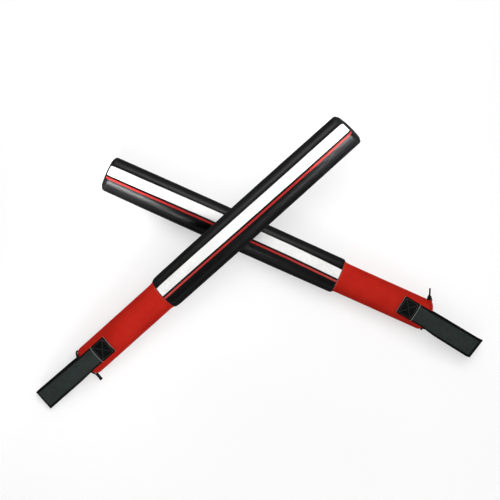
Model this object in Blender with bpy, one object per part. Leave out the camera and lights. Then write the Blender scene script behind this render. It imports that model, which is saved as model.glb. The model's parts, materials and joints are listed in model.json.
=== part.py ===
"""A pair of padded focus training sticks, laid crossed, for boxing and martial-arts coaching.

Each stick is modelled along its own X axis: the butt's end face is at 0, the tip lies towards +X and the
sewn strap patch faces +Z. Empties then place it. The lower stick lies on the floor along the world's X axis
with its grip towards +X. The upper stick rests on the lower barrel and, at its butt, on the floor.
"""

import math
from typing import NamedTuple

import bmesh
import bpy
import numpy as np
from mathutils import Vector

MM = 0.001

# Whole stick, from the butt's end face to the tip, without its strap
TOTAL_LENGTH = 565 * MM

# Barrel
PAD_DIAMETER = 60 * MM
PAD_CROWN = 0.7 * MM
SHOULDER_LENGTH = 12 * MM
SHOULDER_DROP = 2.2 * MM
TIP_RIM_RADIUS = 7 * MM
TIP_DOME = 2 * MM
TIP_FOAM_THICKNESS = 14 * MM
COVER_THICKNESS = 1.2 * MM
REST_FLAT_DEPTH = 0.5 * MM
CAP_SEAM_TURN = math.radians(74)

# Stripes along the barrel and over its rim, turned from the strap's side to the white stripe's middle
WHITE_STRIPE_WIDTH = 17.4 * MM
RED_STRIPE_WIDTH = 4.5 * MM
STRIPE_SPACING = 2.9 * MM
STRIPE_THICKNESS = 0.4 * MM
STRIPE_TURN = math.radians(10.3)
STRIPE_START_MARGIN = 0.7 * MM
STRIPE_END_TURN = math.radians(66)

# Grip
LOWER_GRIP_LENGTH = 158.5 * MM
UPPER_GRIP_LENGTH = 169.5 * MM
GRIP_DIAMETER = 51 * MM
FLARE_LENGTH = 10 * MM
FLARE_HEIGHT = 1.1 * MM
BUTT_RADIUS = 10 * MM
BUTT_DISC_THICKNESS = 1.2 * MM

# Stiff core with a push-in plug at each end
CORE_DIAMETER = 25 * MM
CORE_WALL = 2.5 * MM
PLUG_FLANGE = 3 * MM
PLUG_STEM = 15 * MM

# Wrist strap: one webbing, its ends sewn above and below the grip, folded past the butt
WEBBING_WIDTH = 32 * MM
WEBBING_WIDTH_AT_FOLD = 35 * MM
WEBBING_THICKNESS = 1.8 * MM
LOOP_REACH = 92 * MM
FOLD_RADIUS = 7 * MM
STRAP_LIFT = 8 * MM
STRAP_END_MARGIN = 2 * MM
HINGE_REACH = 16 * MM
LEG_REACH = 32 * MM

# How each strap is sewn on: turned round the grip, askew along it, and folded askew
LOWER_STRAP_TURN = math.radians(6)
UPPER_STRAP_TURN = math.radians(-3)
LOWER_STRAP_YAW = math.radians(7.4)
UPPER_STRAP_YAW = math.radians(0.8)
LOWER_FOLD_SKEW = math.radians(6)
UPPER_FOLD_SKEW = math.radians(0)

# Patch sewn over each end of the strap
LOWER_PATCH_FROM_BUTT = 24 * MM
UPPER_PATCH_FROM_BUTT = 28.5 * MM
PATCH_LENGTH = 27 * MM
PATCH_WIDTH = 33 * MM
PATCH_THICKNESS = 1.2 * MM

# Cord drawn round the butt's rounded edge; the lower one is pulled up on to the grip at its knot
CORD_DIAMETER = 2.4 * MM
CORD_SEAT = math.radians(46)
CORD_PULL_SPREAD = math.radians(54)
LOWER_CORD_PULL = 1.0
UPPER_CORD_PULL = 0.0

# Knot at the cord's -Y side and the tail that leans from it towards the tip
LOWER_KNOT_DIAMETER = 9 * MM
UPPER_KNOT_DIAMETER = 5 * MM
LOWER_KNOT_LENGTH = 7 * MM
UPPER_KNOT_LENGTH = 3 * MM
LOWER_TAIL_LENGTH = 10 * MM
UPPER_TAIL_LENGTH = 8.5 * MM
LOWER_TAIL_LEAN = math.radians(21.5)
UPPER_TAIL_LEAN = math.radians(-4)

# How the two sticks lie
CROSSING_FROM_LOWER_TIP = 226 * MM
CROSSING_FROM_UPPER_TIP = 239 * MM
CROSSING_ANGLE = math.radians(65.9)

# Clearance between pieces that touch, and between the upper stick's strap and the floor
GAP = 0.3 * MM
FLOOR_GAP = 0.1 * MM

# Facets: round the covers, round thinner pieces, over a rounding, along the barrel, across the strap
SEGMENTS = 32
FEW_SEGMENTS = 16
ROUND_STEPS = 5
CROWN_STEPS = 7
STRAP_STEPS = 6
CORD_POINTS = 48

# Places along a stick that several pieces share
RIM_START = TOTAL_LENGTH - TIP_DOME - TIP_RIM_RADIUS
TIP_FOAM_BACK = TOTAL_LENGTH - TIP_DOME - COVER_THICKNESS - GAP - TIP_FOAM_THICKNESS
CORE_TIP_END = TIP_FOAM_BACK - GAP - PLUG_FLANGE - GAP
BUTT_DISC_FRONT = COVER_THICKNESS + GAP
BUTT_PLUG_FRONT = BUTT_DISC_FRONT + BUTT_DISC_THICKNESS + GAP
CORE_BUTT_END = BUTT_PLUG_FRONT + PLUG_FLANGE + GAP
CORE_RADIUS = CORE_DIAMETER / 2
LINING = COVER_THICKNESS + GAP
WEBBING_RADIUS = GRIP_DIAMETER / 2 + GAP + WEBBING_THICKNESS / 2
PATCH_RADIUS = WEBBING_RADIUS + WEBBING_THICKNESS / 2 + GAP + PATCH_THICKNESS / 2
FOLD_CENTRE = -(LOOP_REACH - WEBBING_THICKNESS / 2 - FOLD_RADIUS)


class Trim(NamedTuple):
    """How long one stick's grip is, how its strap is sewn and how its cord is tied."""

    grip_length: float
    strap_turn: float
    strap_yaw: float
    fold_skew: float
    patch_from_butt: float
    cord_pull: float
    knot_diameter: float
    knot_length: float
    tail_length: float
    tail_lean: float


LOWER_TRIM = Trim(
    LOWER_GRIP_LENGTH,
    LOWER_STRAP_TURN,
    LOWER_STRAP_YAW,
    LOWER_FOLD_SKEW,
    LOWER_PATCH_FROM_BUTT,
    LOWER_CORD_PULL,
    LOWER_KNOT_DIAMETER,
    LOWER_KNOT_LENGTH,
    LOWER_TAIL_LENGTH,
    LOWER_TAIL_LEAN,
)
UPPER_TRIM = Trim(
    UPPER_GRIP_LENGTH,
    UPPER_STRAP_TURN,
    UPPER_STRAP_YAW,
    UPPER_FOLD_SKEW,
    UPPER_PATCH_FROM_BUTT,
    UPPER_CORD_PULL,
    UPPER_KNOT_DIAMETER,
    UPPER_KNOT_LENGTH,
    UPPER_TAIL_LENGTH,
    UPPER_TAIL_LEAN,
)


def clear_scene():
    """Remove whatever objects the scene holds."""
    for old in list(bpy.data.objects):
        bpy.data.objects.remove(old, do_unlink=True)


def make_material(name, colour, roughness):
    """A plain Principled material."""
    made = bpy.data.materials.new(name)
    made.use_nodes = True
    shader = made.node_tree.nodes["Principled BSDF"]
    shader.inputs["Base Color"].default_value = (*colour, 1.0)
    shader.inputs["Roughness"].default_value = roughness
    shader.inputs["Metallic"].default_value = 0.0
    return made


def make_empty(name, location, rotation, parent=None):
    """An empty that places the pieces under it."""
    empty = bpy.data.objects.new(name, None)
    empty.location = location
    empty.rotation_euler = rotation
    empty.parent = parent
    bpy.context.scene.collection.objects.link(empty)
    return empty


def add_object(name, bm, material, parent):
    """Turn a bmesh into a named object under its parent."""
    mesh = bpy.data.meshes.new(name)
    bm.to_mesh(mesh)
    bm.free()
    mesh.materials.append(material)
    mesh.shade_smooth()
    mesh.set_sharp_from_angle(angle=math.radians(35))
    made = bpy.data.objects.new(name, mesh)
    made.parent = parent
    bpy.context.scene.collection.objects.link(made)
    return made


def revolve(outline, segments=SEGMENTS, flat_below=None):
    """Solid turned about X from (x, radius) points; an outline that starts on the axis also ends on it."""
    bm = bmesh.new()
    verts = [bm.verts.new((x, 0, radius)) for x, radius in outline]
    edges = [bm.edges.new(pair) for pair in zip(verts, verts[1:])]
    if outline[0][1] > 0:
        edges.append(bm.edges.new((verts[-1], verts[0])))
    bmesh.ops.spin(
        bm,
        geom=verts + edges,
        axis=(1, 0, 0),
        cent=(0, 0, 0),
        angle=math.tau,
        steps=segments,
        use_merge=True,
    )
    bmesh.ops.remove_doubles(bm, verts=bm.verts, dist=0.001 * MM)
    if flat_below is not None:
        cut = bmesh.ops.bisect_plane(
            bm,
            geom=[*bm.verts, *bm.edges, *bm.faces],
            plane_co=(0, 0, flat_below),
            plane_no=(0, 0, -1),
            clear_outer=True,
        )
        rim = [item for item in cut["geom_cut"] if isinstance(item, bmesh.types.BMEdge)]
        bmesh.ops.edgeloop_fill(bm, edges=rim)
    bmesh.ops.recalc_face_normals(bm, faces=bm.faces)
    return bm


def sheet(name, rows, thickness, material, parent):
    """Sheet of even thickness whose middle surface runs through rows of points."""
    bm = bmesh.new()
    grid = [[bm.verts.new(point) for point in row] for row in rows]
    for row, following in zip(grid, grid[1:]):
        for i in range(len(row) - 1):
            bm.faces.new((row[i], row[i + 1], following[i + 1], following[i]))
    made = add_object(name, bm, material, parent)
    solid = made.modifiers.new("Thickness", "SOLIDIFY")
    solid.thickness = thickness
    solid.offset = 0
    solid.use_even_offset = True
    return made


def pad_radius(x, grip_length):
    """Outer radius of the barrel: a gentle crown, drawn in at the shoulder beside the grip."""
    along = (x - grip_length) / (TOTAL_LENGTH - grip_length)
    crown = PAD_DIAMETER / 2 - PAD_CROWN * (2 * along - 1) ** 2
    inward = min(1.0, max(0.0, 1 - (x - grip_length) / SHOULDER_LENGTH))
    return crown - SHOULDER_DROP * (1 - math.sqrt(1 - inward**2))


def pad_profile(inset, x_from, x_to, grip_length):
    """Points (x, radius) along the barrel's outside, moved inwards by inset."""
    shoulder_end = grip_length + SHOULDER_LENGTH
    angles = np.linspace(0, math.pi / 2, ROUND_STEPS)
    rise = [shoulder_end - (shoulder_end - x_from) * math.cos(angle) for angle in angles]
    crown = list(np.linspace(shoulder_end, x_to, CROWN_STEPS))
    return [(x, pad_radius(x, grip_length) - inset) for x in rise + crown[1:]]


def rim_profile(inset, turn_from, turn_to, grip_length):
    """Points (x, radius) round the tip's rim, its side being turn 0, moved inwards by inset."""
    rim_radius = TIP_RIM_RADIUS - inset
    centre = pad_radius(RIM_START, grip_length) - TIP_RIM_RADIUS
    turns = np.linspace(turn_from, turn_to, ROUND_STEPS)
    return [(RIM_START + rim_radius * math.sin(turn), centre + rim_radius * math.cos(turn)) for turn in turns]


def dome_profile(inset, grip_length):
    """Points (x, radius) from the rim's end over the tip's domed face to the axis, moved inwards by inset."""
    face = RIM_START + TIP_RIM_RADIUS - inset
    edge = pad_radius(RIM_START, grip_length) - TIP_RIM_RADIUS
    return [(face + TIP_DOME * (1 - share**2), edge * share) for share in (0.66, 0.33, 0.0)]


def grip_profile(inset, x_from, x_to):
    """Points (x, radius) along the grip's outside from the butt's rounded edge, moved inwards by inset."""
    rounding = BUTT_RADIUS - inset
    centre = GRIP_DIAMETER / 2 - BUTT_RADIUS
    first = math.acos(min(1.0, (BUTT_RADIUS - x_from) / rounding))
    points = []
    for angle in np.linspace(first, math.pi / 2, ROUND_STEPS):
        points.append((BUTT_RADIUS - rounding * math.cos(angle), centre + rounding * math.sin(angle)))
    for share in np.linspace(0, 1, ROUND_STEPS):
        x = x_to - FLARE_LENGTH * (1 - share)
        points.append((x, GRIP_DIAMETER / 2 + FLARE_HEIGHT * share**2 - inset))
    return points


def strap_share(x):
    """How far along the free strap a place lies: 0 where it leaves the grip, 1 where its fold begins."""
    return min(1.0, max(0.0, (STRAP_LIFT - x) / (STRAP_LIFT - FOLD_CENTRE)))


def strap_height(x):
    """Height of the strap's middle over the stick's axis, from the grip's surface down to the fold."""
    easing = (1 + math.cos(math.pi * strap_share(x))) / 2
    return FOLD_RADIUS + (WEBBING_RADIUS - FOLD_RADIUS) * easing


def strap_middle(x, trim):
    """Sideways place of the strap's middle line, which runs straight on from the patch."""
    return math.tan(trim.strap_yaw) * (trim.patch_from_butt + PATCH_LENGTH / 2 - x)


def places_across(x, trim):
    """Places (along, sideways) across the webbing, along counted from x."""
    share = strap_share(x)
    half = (WEBBING_WIDTH + (WEBBING_WIDTH_AT_FOLD - WEBBING_WIDTH) * share) / 2
    turn = trim.strap_yaw + trim.fold_skew * share**2
    middle = strap_middle(x, trim)
    steps = np.linspace(-half, half, STRAP_STEPS + 1)
    return [(step * math.sin(turn), middle + step * math.cos(turn)) for step in steps]


def leg_point(x, sideways):
    """Point of the top leg's middle surface: bent round the grip at first, flat once clear of the butt."""
    slope = math.pi * math.sin(math.pi * strap_share(x)) / 2
    slope *= (WEBBING_RADIUS - FOLD_RADIUS) / (STRAP_LIFT - FOLD_CENTRE)
    length = math.hypot(1, slope)
    flat = min(1.0, max(0.0, (STRAP_LIFT - x) / (STRAP_LIFT + LEG_REACH)))
    bend = (1 - flat * flat * (3 - 2 * flat)) / WEBBING_RADIUS
    if bend * WEBBING_WIDTH < 1e-6:
        return Vector((x, sideways, strap_height(x)))
    sink = (1 - math.cos(bend * sideways)) / bend
    side = math.sin(bend * sideways) / bend
    return Vector((x + sink * slope / length, side, strap_height(x) - sink / length))


def leg_row(x, trim):
    """Points across the top leg."""
    return [leg_point(x + along, sideways) for along, sideways in places_across(x, trim)]


def fold_row(angle, trim):
    """Points across the fold, whose angle runs from 0 at the top leg to half a turn at the bottom leg."""
    x = FOLD_CENTRE - FOLD_RADIUS * math.sin(angle)
    z = FOLD_RADIUS * math.cos(angle)
    return [Vector((x + along, sideways, z)) for along, sideways in places_across(FOLD_CENTRE, trim)]


def leg_rows(trim):
    """Rows of the strap's top leg, from its sewn end to the loop."""
    sewn_end = trim.patch_from_butt + PATCH_LENGTH - STRAP_END_MARGIN
    places = [sewn_end, (sewn_end + STRAP_LIFT) / 2]
    places.extend(np.linspace(STRAP_LIFT, GAP / 2 - LEG_REACH, STRAP_STEPS + 1))
    return [leg_row(x, trim) for x in places]


def loop_rows(trim):
    """Rows of the strap's loop, from the top leg round the fold to the bottom leg."""
    top = [leg_row(x, trim) for x in np.linspace(-LEG_REACH - GAP / 2, FOLD_CENTRE, STRAP_STEPS + 1)]
    fold = [fold_row(angle, trim) for angle in np.linspace(0, math.pi, 2 * STRAP_STEPS + 1)[1:-1]]
    bottom = [[Vector((p.x, p.y, -p.z)) for p in row] for row in reversed(top)]
    return top + fold + bottom


def turned_over(rows):
    """The same rows on the stick's other side."""
    return [[Vector((p.x, p.y, -p.z)) for p in reversed(row)] for row in rows]


def resting_lift(lower_axis_height, tilt):
    """Height of the upper axis over the crossing, where its barrel just clears the lower barrel's stripe."""
    lower = pad_radius(TOTAL_LENGTH - CROSSING_FROM_LOWER_TIP, LOWER_GRIP_LENGTH)
    lower += GAP + STRIPE_THICKNESS
    upper = pad_radius(TOTAL_LENGTH - CROSSING_FROM_UPPER_TIP, UPPER_GRIP_LENGTH)
    across = math.sin(CROSSING_ANGLE) * math.cos(tilt)
    leaning = math.hypot(across, math.sin(tilt)) / across
    return lower_axis_height + (lower + GAP + upper) * leaning


def resting_tilt(lower_axis_height, trim):
    """Tilt at which the strap under the upper stick's butt just meets the floor, found by halving."""
    low = 0.0
    high = math.radians(45)
    crossing = TOTAL_LENGTH - CROSSING_FROM_UPPER_TIP
    strap = [point for row in leg_rows(trim) + loop_rows(trim) for point in row]
    under = []
    for point in strap:
        depth = abs(point.z) * math.cos(trim.strap_turn) + point.y * math.sin(trim.strap_turn)
        under.append((crossing - point.x, depth + WEBBING_THICKNESS / 2))
    while high - low > 1e-7:
        tilt = (low + high) / 2
        height = resting_lift(lower_axis_height, tilt)
        lowest = min(height - behind * math.sin(tilt) - depth * math.cos(tilt) for behind, depth in under)
        if lowest > FLOOR_GAP:
            low = tilt
        else:
            high = tilt
    return low


def build_core(prefix, materials, parent):
    """Stiff tube through the whole stick, with a flanged plug pushed into each end."""
    bore = CORE_RADIUS - CORE_WALL
    tube = [
        (CORE_BUTT_END, bore),
        (CORE_BUTT_END, CORE_RADIUS),
        (CORE_TIP_END, CORE_RADIUS),
        (CORE_TIP_END, bore),
    ]
    add_object(f"{prefix}_core_tube", revolve(tube, FEW_SEGMENTS), materials["core"], parent)
    stem = bore - GAP
    for name, front, inward in (
        ("butt_plug", BUTT_PLUG_FRONT, 1),
        ("tip_plug", TIP_FOAM_BACK - GAP, -1),
    ):
        back = front + inward * PLUG_FLANGE
        end = back + inward * (GAP + PLUG_STEM)
        plug = [(front, 0), (front, CORE_RADIUS), (back, CORE_RADIUS), (back, stem), (end, stem), (end, 0)]
        add_object(f"{prefix}_{name}", revolve(plug, FEW_SEGMENTS), materials["plug"], parent)


def build_barrel(prefix, materials, parent, grip_length, rest_flat):
    """Foam, foam end disc, sleeve and end cap of the padded barrel."""
    start = grip_length + GAP / 2
    foam_bore = CORE_RADIUS + GAP
    foam_end = TIP_FOAM_BACK - GAP
    foam = pad_profile(LINING, start, foam_end, grip_length)
    foam_outline = [*foam, (foam_end, foam_bore), (start, foam_bore)]
    flat_height = REST_FLAT_DEPTH - PAD_DIAMETER / 2
    foam_flat = flat_height + LINING if rest_flat else None
    add_object(f"{prefix}_pad_foam", revolve(foam_outline, flat_below=foam_flat), materials["foam"], parent)

    disc = [(TIP_FOAM_BACK, 0), (TIP_FOAM_BACK, pad_radius(TIP_FOAM_BACK, grip_length) - LINING)]
    disc += rim_profile(LINING, 0, math.pi / 2, grip_length) + dome_profile(LINING, grip_length)
    add_object(f"{prefix}_tip_foam", revolve(disc), materials["foam"], parent)

    walls = []
    for inset in (0, COVER_THICKNESS):
        side = pad_profile(inset, start, RIM_START, grip_length)
        walls.append(side + rim_profile(inset, 0, CAP_SEAM_TURN, grip_length)[1:])
    cover_flat = flat_height if rest_flat else None
    cover = revolve([*walls[0], *reversed(walls[1])], flat_below=cover_flat)
    add_object(f"{prefix}_pad_cover", cover, materials["black_leather"], parent)

    cap_turn = CAP_SEAM_TURN + GAP / (TIP_RIM_RADIUS - COVER_THICKNESS)
    faces = []
    for inset in (0, COVER_THICKNESS):
        rim = rim_profile(inset, cap_turn, math.pi / 2, grip_length)
        faces.append(rim + dome_profile(inset, grip_length))
    cap = revolve([*reversed(faces[1]), *faces[0]])
    add_object(f"{prefix}_tip_cap", cap, materials["black_leather"], parent)


def build_stripe(name, width, middle, material, parent, grip_length):
    """Strip laid along the barrel, its middle turned from the strap's side by an angle."""
    half_turn = width / PAD_DIAMETER
    turns = np.linspace(middle - half_turn, middle + half_turn, STRAP_STEPS - 1)
    outset = GAP + STRIPE_THICKNESS / 2
    profile = pad_profile(-outset, grip_length + STRIPE_START_MARGIN, RIM_START, grip_length)
    profile += rim_profile(-outset, 0, STRIPE_END_TURN, grip_length)[1:]
    rows = [[Vector((x, r * math.sin(turn), r * math.cos(turn))) for turn in turns] for x, r in profile]
    sheet(name, rows, STRIPE_THICKNESS, material, parent)


def build_grip(prefix, materials, parent, grip_length):
    """Foam and sleeve of the grip, and the disc that the turned-in sleeve holds at the butt."""
    end = grip_length - GAP / 2
    foam_bore = CORE_RADIUS + GAP
    foam = grip_profile(LINING, BUTT_PLUG_FRONT, end)
    foam_outline = [*foam, (end, foam_bore), (BUTT_PLUG_FRONT, foam_bore)]
    add_object(f"{prefix}_grip_foam", revolve(foam_outline), materials["foam"], parent)

    outside = grip_profile(0, 0, end)
    inside = grip_profile(COVER_THICKNESS, COVER_THICKNESS, end)
    sleeve = revolve([*outside, *reversed(inside)])
    add_object(f"{prefix}_grip_sleeve", sleeve, materials["red_leather"], parent)

    disc_radius = grip_profile(LINING, BUTT_DISC_FRONT, end)[0][1]
    disc_back = BUTT_DISC_FRONT + BUTT_DISC_THICKNESS
    disc = [(BUTT_DISC_FRONT, 0), (BUTT_DISC_FRONT, disc_radius), (disc_back, disc_radius), (disc_back, 0)]
    add_object(f"{prefix}_butt_disc", revolve(disc), materials["black_leather"], parent)


def build_strap(prefix, materials, parent, pivot, trim):
    """Wrist strap: two sewn legs on the stick, the loop on its pivot, and a patch over each sewn end."""
    top = leg_rows(trim)
    webbing = materials["webbing"]
    sheet(f"{prefix}_strap_top_leg", top, WEBBING_THICKNESS, webbing, parent)
    sheet(f"{prefix}_strap_bottom_leg", turned_over(top), WEBBING_THICKNESS, webbing, parent)
    loop = [[point - Vector(pivot.location) for point in row] for row in loop_rows(trim)]
    sheet(f"{prefix}_strap_loop", loop, WEBBING_THICKNESS, webbing, pivot)

    patch = []
    for x in np.linspace(trim.patch_from_butt + PATCH_LENGTH, trim.patch_from_butt, 3):
        row = []
        for step in np.linspace(-PATCH_WIDTH / 2, PATCH_WIDTH / 2, STRAP_STEPS + 1):
            turn = (strap_middle(x, trim) + step * math.cos(trim.strap_yaw)) / PATCH_RADIUS
            along = x + step * math.sin(trim.strap_yaw)
            row.append(Vector((along, PATCH_RADIUS * math.sin(turn), PATCH_RADIUS * math.cos(turn))))
        patch.append(row)
    sheet(f"{prefix}_top_patch", patch, PATCH_THICKNESS, materials["black_leather"], parent)
    sheet(f"{prefix}_bottom_patch", turned_over(patch), PATCH_THICKNESS, materials["black_leather"], parent)


def cord_place(turn, pull):
    """Point of the cord's middle, at a turn counted from the knot's side round the butt."""
    near = max(0.0, 1 - abs(turn) / CORD_PULL_SPREAD)
    seat_angle = CORD_SEAT + pull * (math.pi / 2 - CORD_SEAT) * math.sin(near * math.pi / 2) ** 2
    seat = BUTT_RADIUS + GAP + CORD_DIAMETER / 2
    radius = GRIP_DIAMETER / 2 - BUTT_RADIUS + seat * math.sin(seat_angle)
    x = BUTT_RADIUS - seat * math.cos(seat_angle)
    return (x, -radius * math.cos(turn), radius * math.sin(turn), 1)


def build_cord(prefix, materials, parent, trim):
    """Cord seated on the butt's rounded edge, both ends meeting the knot, and the knot with its tail."""
    radius = CORD_DIAMETER / 2
    knot_x, knot_y = cord_place(0, trim.cord_pull)[:2]
    curve = bpy.data.curves.new(f"{prefix}_draw_cord", "CURVE")
    curve.dimensions = "3D"
    curve.bevel_depth = radius
    curve.bevel_resolution = 1
    curve.use_fill_caps = True
    first = (trim.knot_diameter / 2 + GAP) / -knot_y
    turns = np.linspace(first, math.tau - first, CORD_POINTS)
    route = curve.splines.new("POLY")
    route.points.add(CORD_POINTS - 1)
    for point, turn in zip(route.points, turns):
        point.co = cord_place(turn if turn < math.pi else turn - math.tau, trim.cord_pull)
    curve.materials.append(materials["cord"])
    cord = bpy.data.objects.new(curve.name, curve)
    cord.parent = parent
    bpy.context.scene.collection.objects.link(cord)

    base = trim.knot_diameter * 0.42
    end = trim.knot_length + trim.tail_length
    outline = [
        (0, 0),
        (0, base),
        (trim.knot_length * 0.15, trim.knot_diameter * 0.5),
        (trim.knot_length * 0.45, trim.knot_diameter * 0.4),
        (trim.knot_length, radius),
        (end, radius),
        (end, 0),
    ]
    knot = revolve(outline, FEW_SEGMENTS)
    for vert in knot.verts:
        vert.co.y += vert.co.x * math.tan(trim.tail_lean)
    made = add_object(f"{prefix}_cord_knot", knot, materials["cord"], parent)
    edge = BUTT_RADIUS - min(BUTT_RADIUS, knot_x + base)
    sleeve = GRIP_DIAMETER / 2 - BUTT_RADIUS + math.sqrt(BUTT_RADIUS**2 - edge**2)
    made.location = (knot_x, -(sleeve + GAP), 0)
    made.rotation_euler = (0, 0, -math.pi / 2)


def build_stick(prefix, side, trim, materials, frame, rest_flat):
    """All pieces of one stick; side is +1 or -1, because the pair's stripes are mirrored."""
    build_core(prefix, materials, frame)
    build_barrel(prefix, materials, frame, trim.grip_length, rest_flat)
    spread = (WHITE_STRIPE_WIDTH + RED_STRIPE_WIDTH) / 2 + STRIPE_SPACING
    red_turn = STRIPE_TURN - spread / (PAD_DIAMETER / 2)
    for colour, width, turn in (
        ("white", WHITE_STRIPE_WIDTH, STRIPE_TURN),
        ("red", RED_STRIPE_WIDTH, red_turn),
    ):
        strip = materials[f"{colour}_strip"]
        build_stripe(f"{prefix}_{colour}_stripe", width, side * turn, strip, frame, trim.grip_length)
    build_grip(prefix, materials, frame, trim.grip_length)
    strap_frame = make_empty(f"{prefix}_strap_frame", (0, 0, 0), (-trim.strap_turn, 0, 0), frame)
    pivot = make_empty(f"{prefix}_strap_pivot", (-HINGE_REACH, 0, 0), (0, 0, 0), strap_frame)
    build_strap(prefix, materials, strap_frame, pivot, trim)
    build_cord(prefix, materials, frame, trim)
    return pivot


def main():
    clear_scene()
    materials = {
        "black_leather": make_material("black_leather", (0.012, 0.013, 0.013), 0.35),
        "red_leather": make_material("red_leather", (0.45, 0.017, 0.009), 0.45),
        "white_strip": make_material("white_strip", (0.72, 0.72, 0.70), 0.4),
        "red_strip": make_material("red_strip", (0.5, 0.03, 0.03), 0.4),
        "webbing": make_material("webbing", (0.02, 0.024, 0.023), 0.8),
        "cord": make_material("cord", (0.01, 0.01, 0.01), 0.8),
        "foam": make_material("foam", (0.15, 0.15, 0.16), 0.9),
        "core": make_material("core", (0.6, 0.6, 0.58), 0.5),
        "plug": make_material("plug", (0.03, 0.03, 0.03), 0.5),
    }

    lower_height = PAD_DIAMETER / 2 - REST_FLAT_DEPTH
    lower_place = (TOTAL_LENGTH - CROSSING_FROM_LOWER_TIP, 0, lower_height)
    lower = make_empty("lower_stick", lower_place, (0, 0, math.pi))

    tilt = resting_tilt(lower_height, UPPER_TRIM)
    lift = make_empty("upper_lift", (0, 0, resting_lift(lower_height, tilt)), (0, -tilt, CROSSING_ANGLE))
    upper = make_empty("upper_stick", (CROSSING_FROM_UPPER_TIP - TOTAL_LENGTH, 0, 0), (0, 0, 0), lift)

    lower_pivot = build_stick("lower", -1, LOWER_TRIM, materials, lower, True)
    upper_pivot = build_stick("upper", 1, UPPER_TRIM, materials, upper, False)

    bpy.context.view_layer.update()
    print("upper stick's tilt, degrees:", round(math.degrees(tilt), 3))
    for pivot in (lower_pivot, upper_pivot):
        place = pivot.matrix_world.translation
        axis = pivot.matrix_world.to_3x3() @ Vector((0, 1, 0))
        print(pivot.name, [round(v, 6) for v in place], [round(v, 6) for v in axis])


main()
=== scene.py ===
# %% [markdown]
# # A pair of focus training sticks
#
# Two padded coaching sticks lie crossed on a pale floor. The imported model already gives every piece
# its place, its size and its joints, so this lesson only dresses it: soft covers, stripes, webbing,
# stitches and cords. All lengths are in metres. Each stick is described in its own frame first,
# where X runs from the butt's end face to the tip and Z points to the side that carries the sewn
# patch, and is then moved to its place.

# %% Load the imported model
import json
import math
from typing import NamedTuple

import bmesh
import bpy
import numpy as np
from mathutils import Euler, Matrix, Vector, noise


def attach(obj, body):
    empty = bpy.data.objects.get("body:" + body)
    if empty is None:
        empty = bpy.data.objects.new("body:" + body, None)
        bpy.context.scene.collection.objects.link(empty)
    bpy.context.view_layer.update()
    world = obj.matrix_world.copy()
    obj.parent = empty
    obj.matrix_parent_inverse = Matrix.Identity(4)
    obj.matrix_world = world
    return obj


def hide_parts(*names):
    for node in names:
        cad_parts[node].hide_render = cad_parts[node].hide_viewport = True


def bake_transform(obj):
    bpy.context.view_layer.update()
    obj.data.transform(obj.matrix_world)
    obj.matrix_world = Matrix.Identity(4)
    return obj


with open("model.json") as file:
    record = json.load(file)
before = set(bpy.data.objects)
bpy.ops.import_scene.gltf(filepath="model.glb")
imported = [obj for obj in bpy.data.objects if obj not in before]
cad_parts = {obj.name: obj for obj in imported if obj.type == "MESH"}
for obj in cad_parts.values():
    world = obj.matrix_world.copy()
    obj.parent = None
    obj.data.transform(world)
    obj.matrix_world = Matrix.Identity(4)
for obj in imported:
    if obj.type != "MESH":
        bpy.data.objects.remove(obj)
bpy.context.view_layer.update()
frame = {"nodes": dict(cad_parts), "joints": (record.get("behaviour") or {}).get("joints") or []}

MM = 0.001


def add_object(name, data):
    """Puts data, such as a mesh or a lamp, into the scene as an object."""
    made = bpy.data.objects.new(name, data)
    bpy.context.scene.collection.objects.link(made)
    return made


# %% [markdown]
# ## The camera
#
# The photograph was taken from almost straight above with a long lens. A camera could be turned by
# hand until the view looks right, but a few numbers do it exactly: how far it stands off, how it is
# rolled, how it leans, and where the crossing of the sticks falls in the picture. The lens follows
# from the focal length in pixels.

# %% Camera
IMAGE_SIZE = 500
SENSOR_WIDTH = 36
FOCAL_PIXELS = 1874.2
CAMERA_ROLL = 0.4216
CAMERA_LEAN_RIGHT = -0.0436
CAMERA_LEAN_UP = -0.0374
CAMERA_DISTANCE = 2.979
CROSSING = Vector((0, 0, 0.05))
CROSSING_PIXEL = (235.99, 229.51)

right = Vector((math.cos(CAMERA_ROLL), math.sin(CAMERA_ROLL), 0))
image_up = Vector((-math.sin(CAMERA_ROLL), math.cos(CAMERA_ROLL), 0))
back = (Vector((0, 0, 1)) + CAMERA_LEAN_RIGHT * right + CAMERA_LEAN_UP * image_up).normalized()
right = (right - back * right.dot(back)).normalized()
image_up = back.cross(right)
aside = (CROSSING_PIXEL[0] - IMAGE_SIZE / 2) / FOCAL_PIXELS * CAMERA_DISTANCE
above = (IMAGE_SIZE / 2 - CROSSING_PIXEL[1]) / FOCAL_PIXELS * CAMERA_DISTANCE
camera_place = CROSSING - aside * right - above * image_up + CAMERA_DISTANCE * back

camera_data = bpy.data.cameras.new("photo_camera")
camera_data.sensor_width = SENSOR_WIDTH
camera_data.lens = FOCAL_PIXELS / IMAGE_SIZE * SENSOR_WIDTH
camera = add_object("photo_camera", camera_data)
camera_axes = Matrix((right, image_up, back)).transposed()
camera.matrix_world = Matrix.Translation(camera_place) @ camera_axes.to_4x4()
bpy.context.scene.camera = camera
print("camera at", [round(v, 3) for v in camera_place], "lens", round(camera_data.lens, 1), "mm")

# %% [markdown]
# ## Where each stick lies
#
# The lower stick lies flat along X with its grip towards +X. The upper stick leans over it. The
# strap's hinge lies on a stick's axis a short way behind the butt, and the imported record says
# where, so the butt's place follows from it. What differs between the two is kept beside each
# stick: the grip's length, the barrel's shoulder, the slant of its sewn-on end, and how the strap
# and the cord lie.

# %% Sticks
STICK_LENGTH = 565 * MM
HINGE_REACH = 16 * MM
UPPER_TILT = math.radians(11.423)
CROSSING_ANGLE = math.radians(65.9)
SLANT_START = 400 * MM
SLANT_LENGTH = 150 * MM
SLANT_OFFSET = 20 * MM


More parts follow.
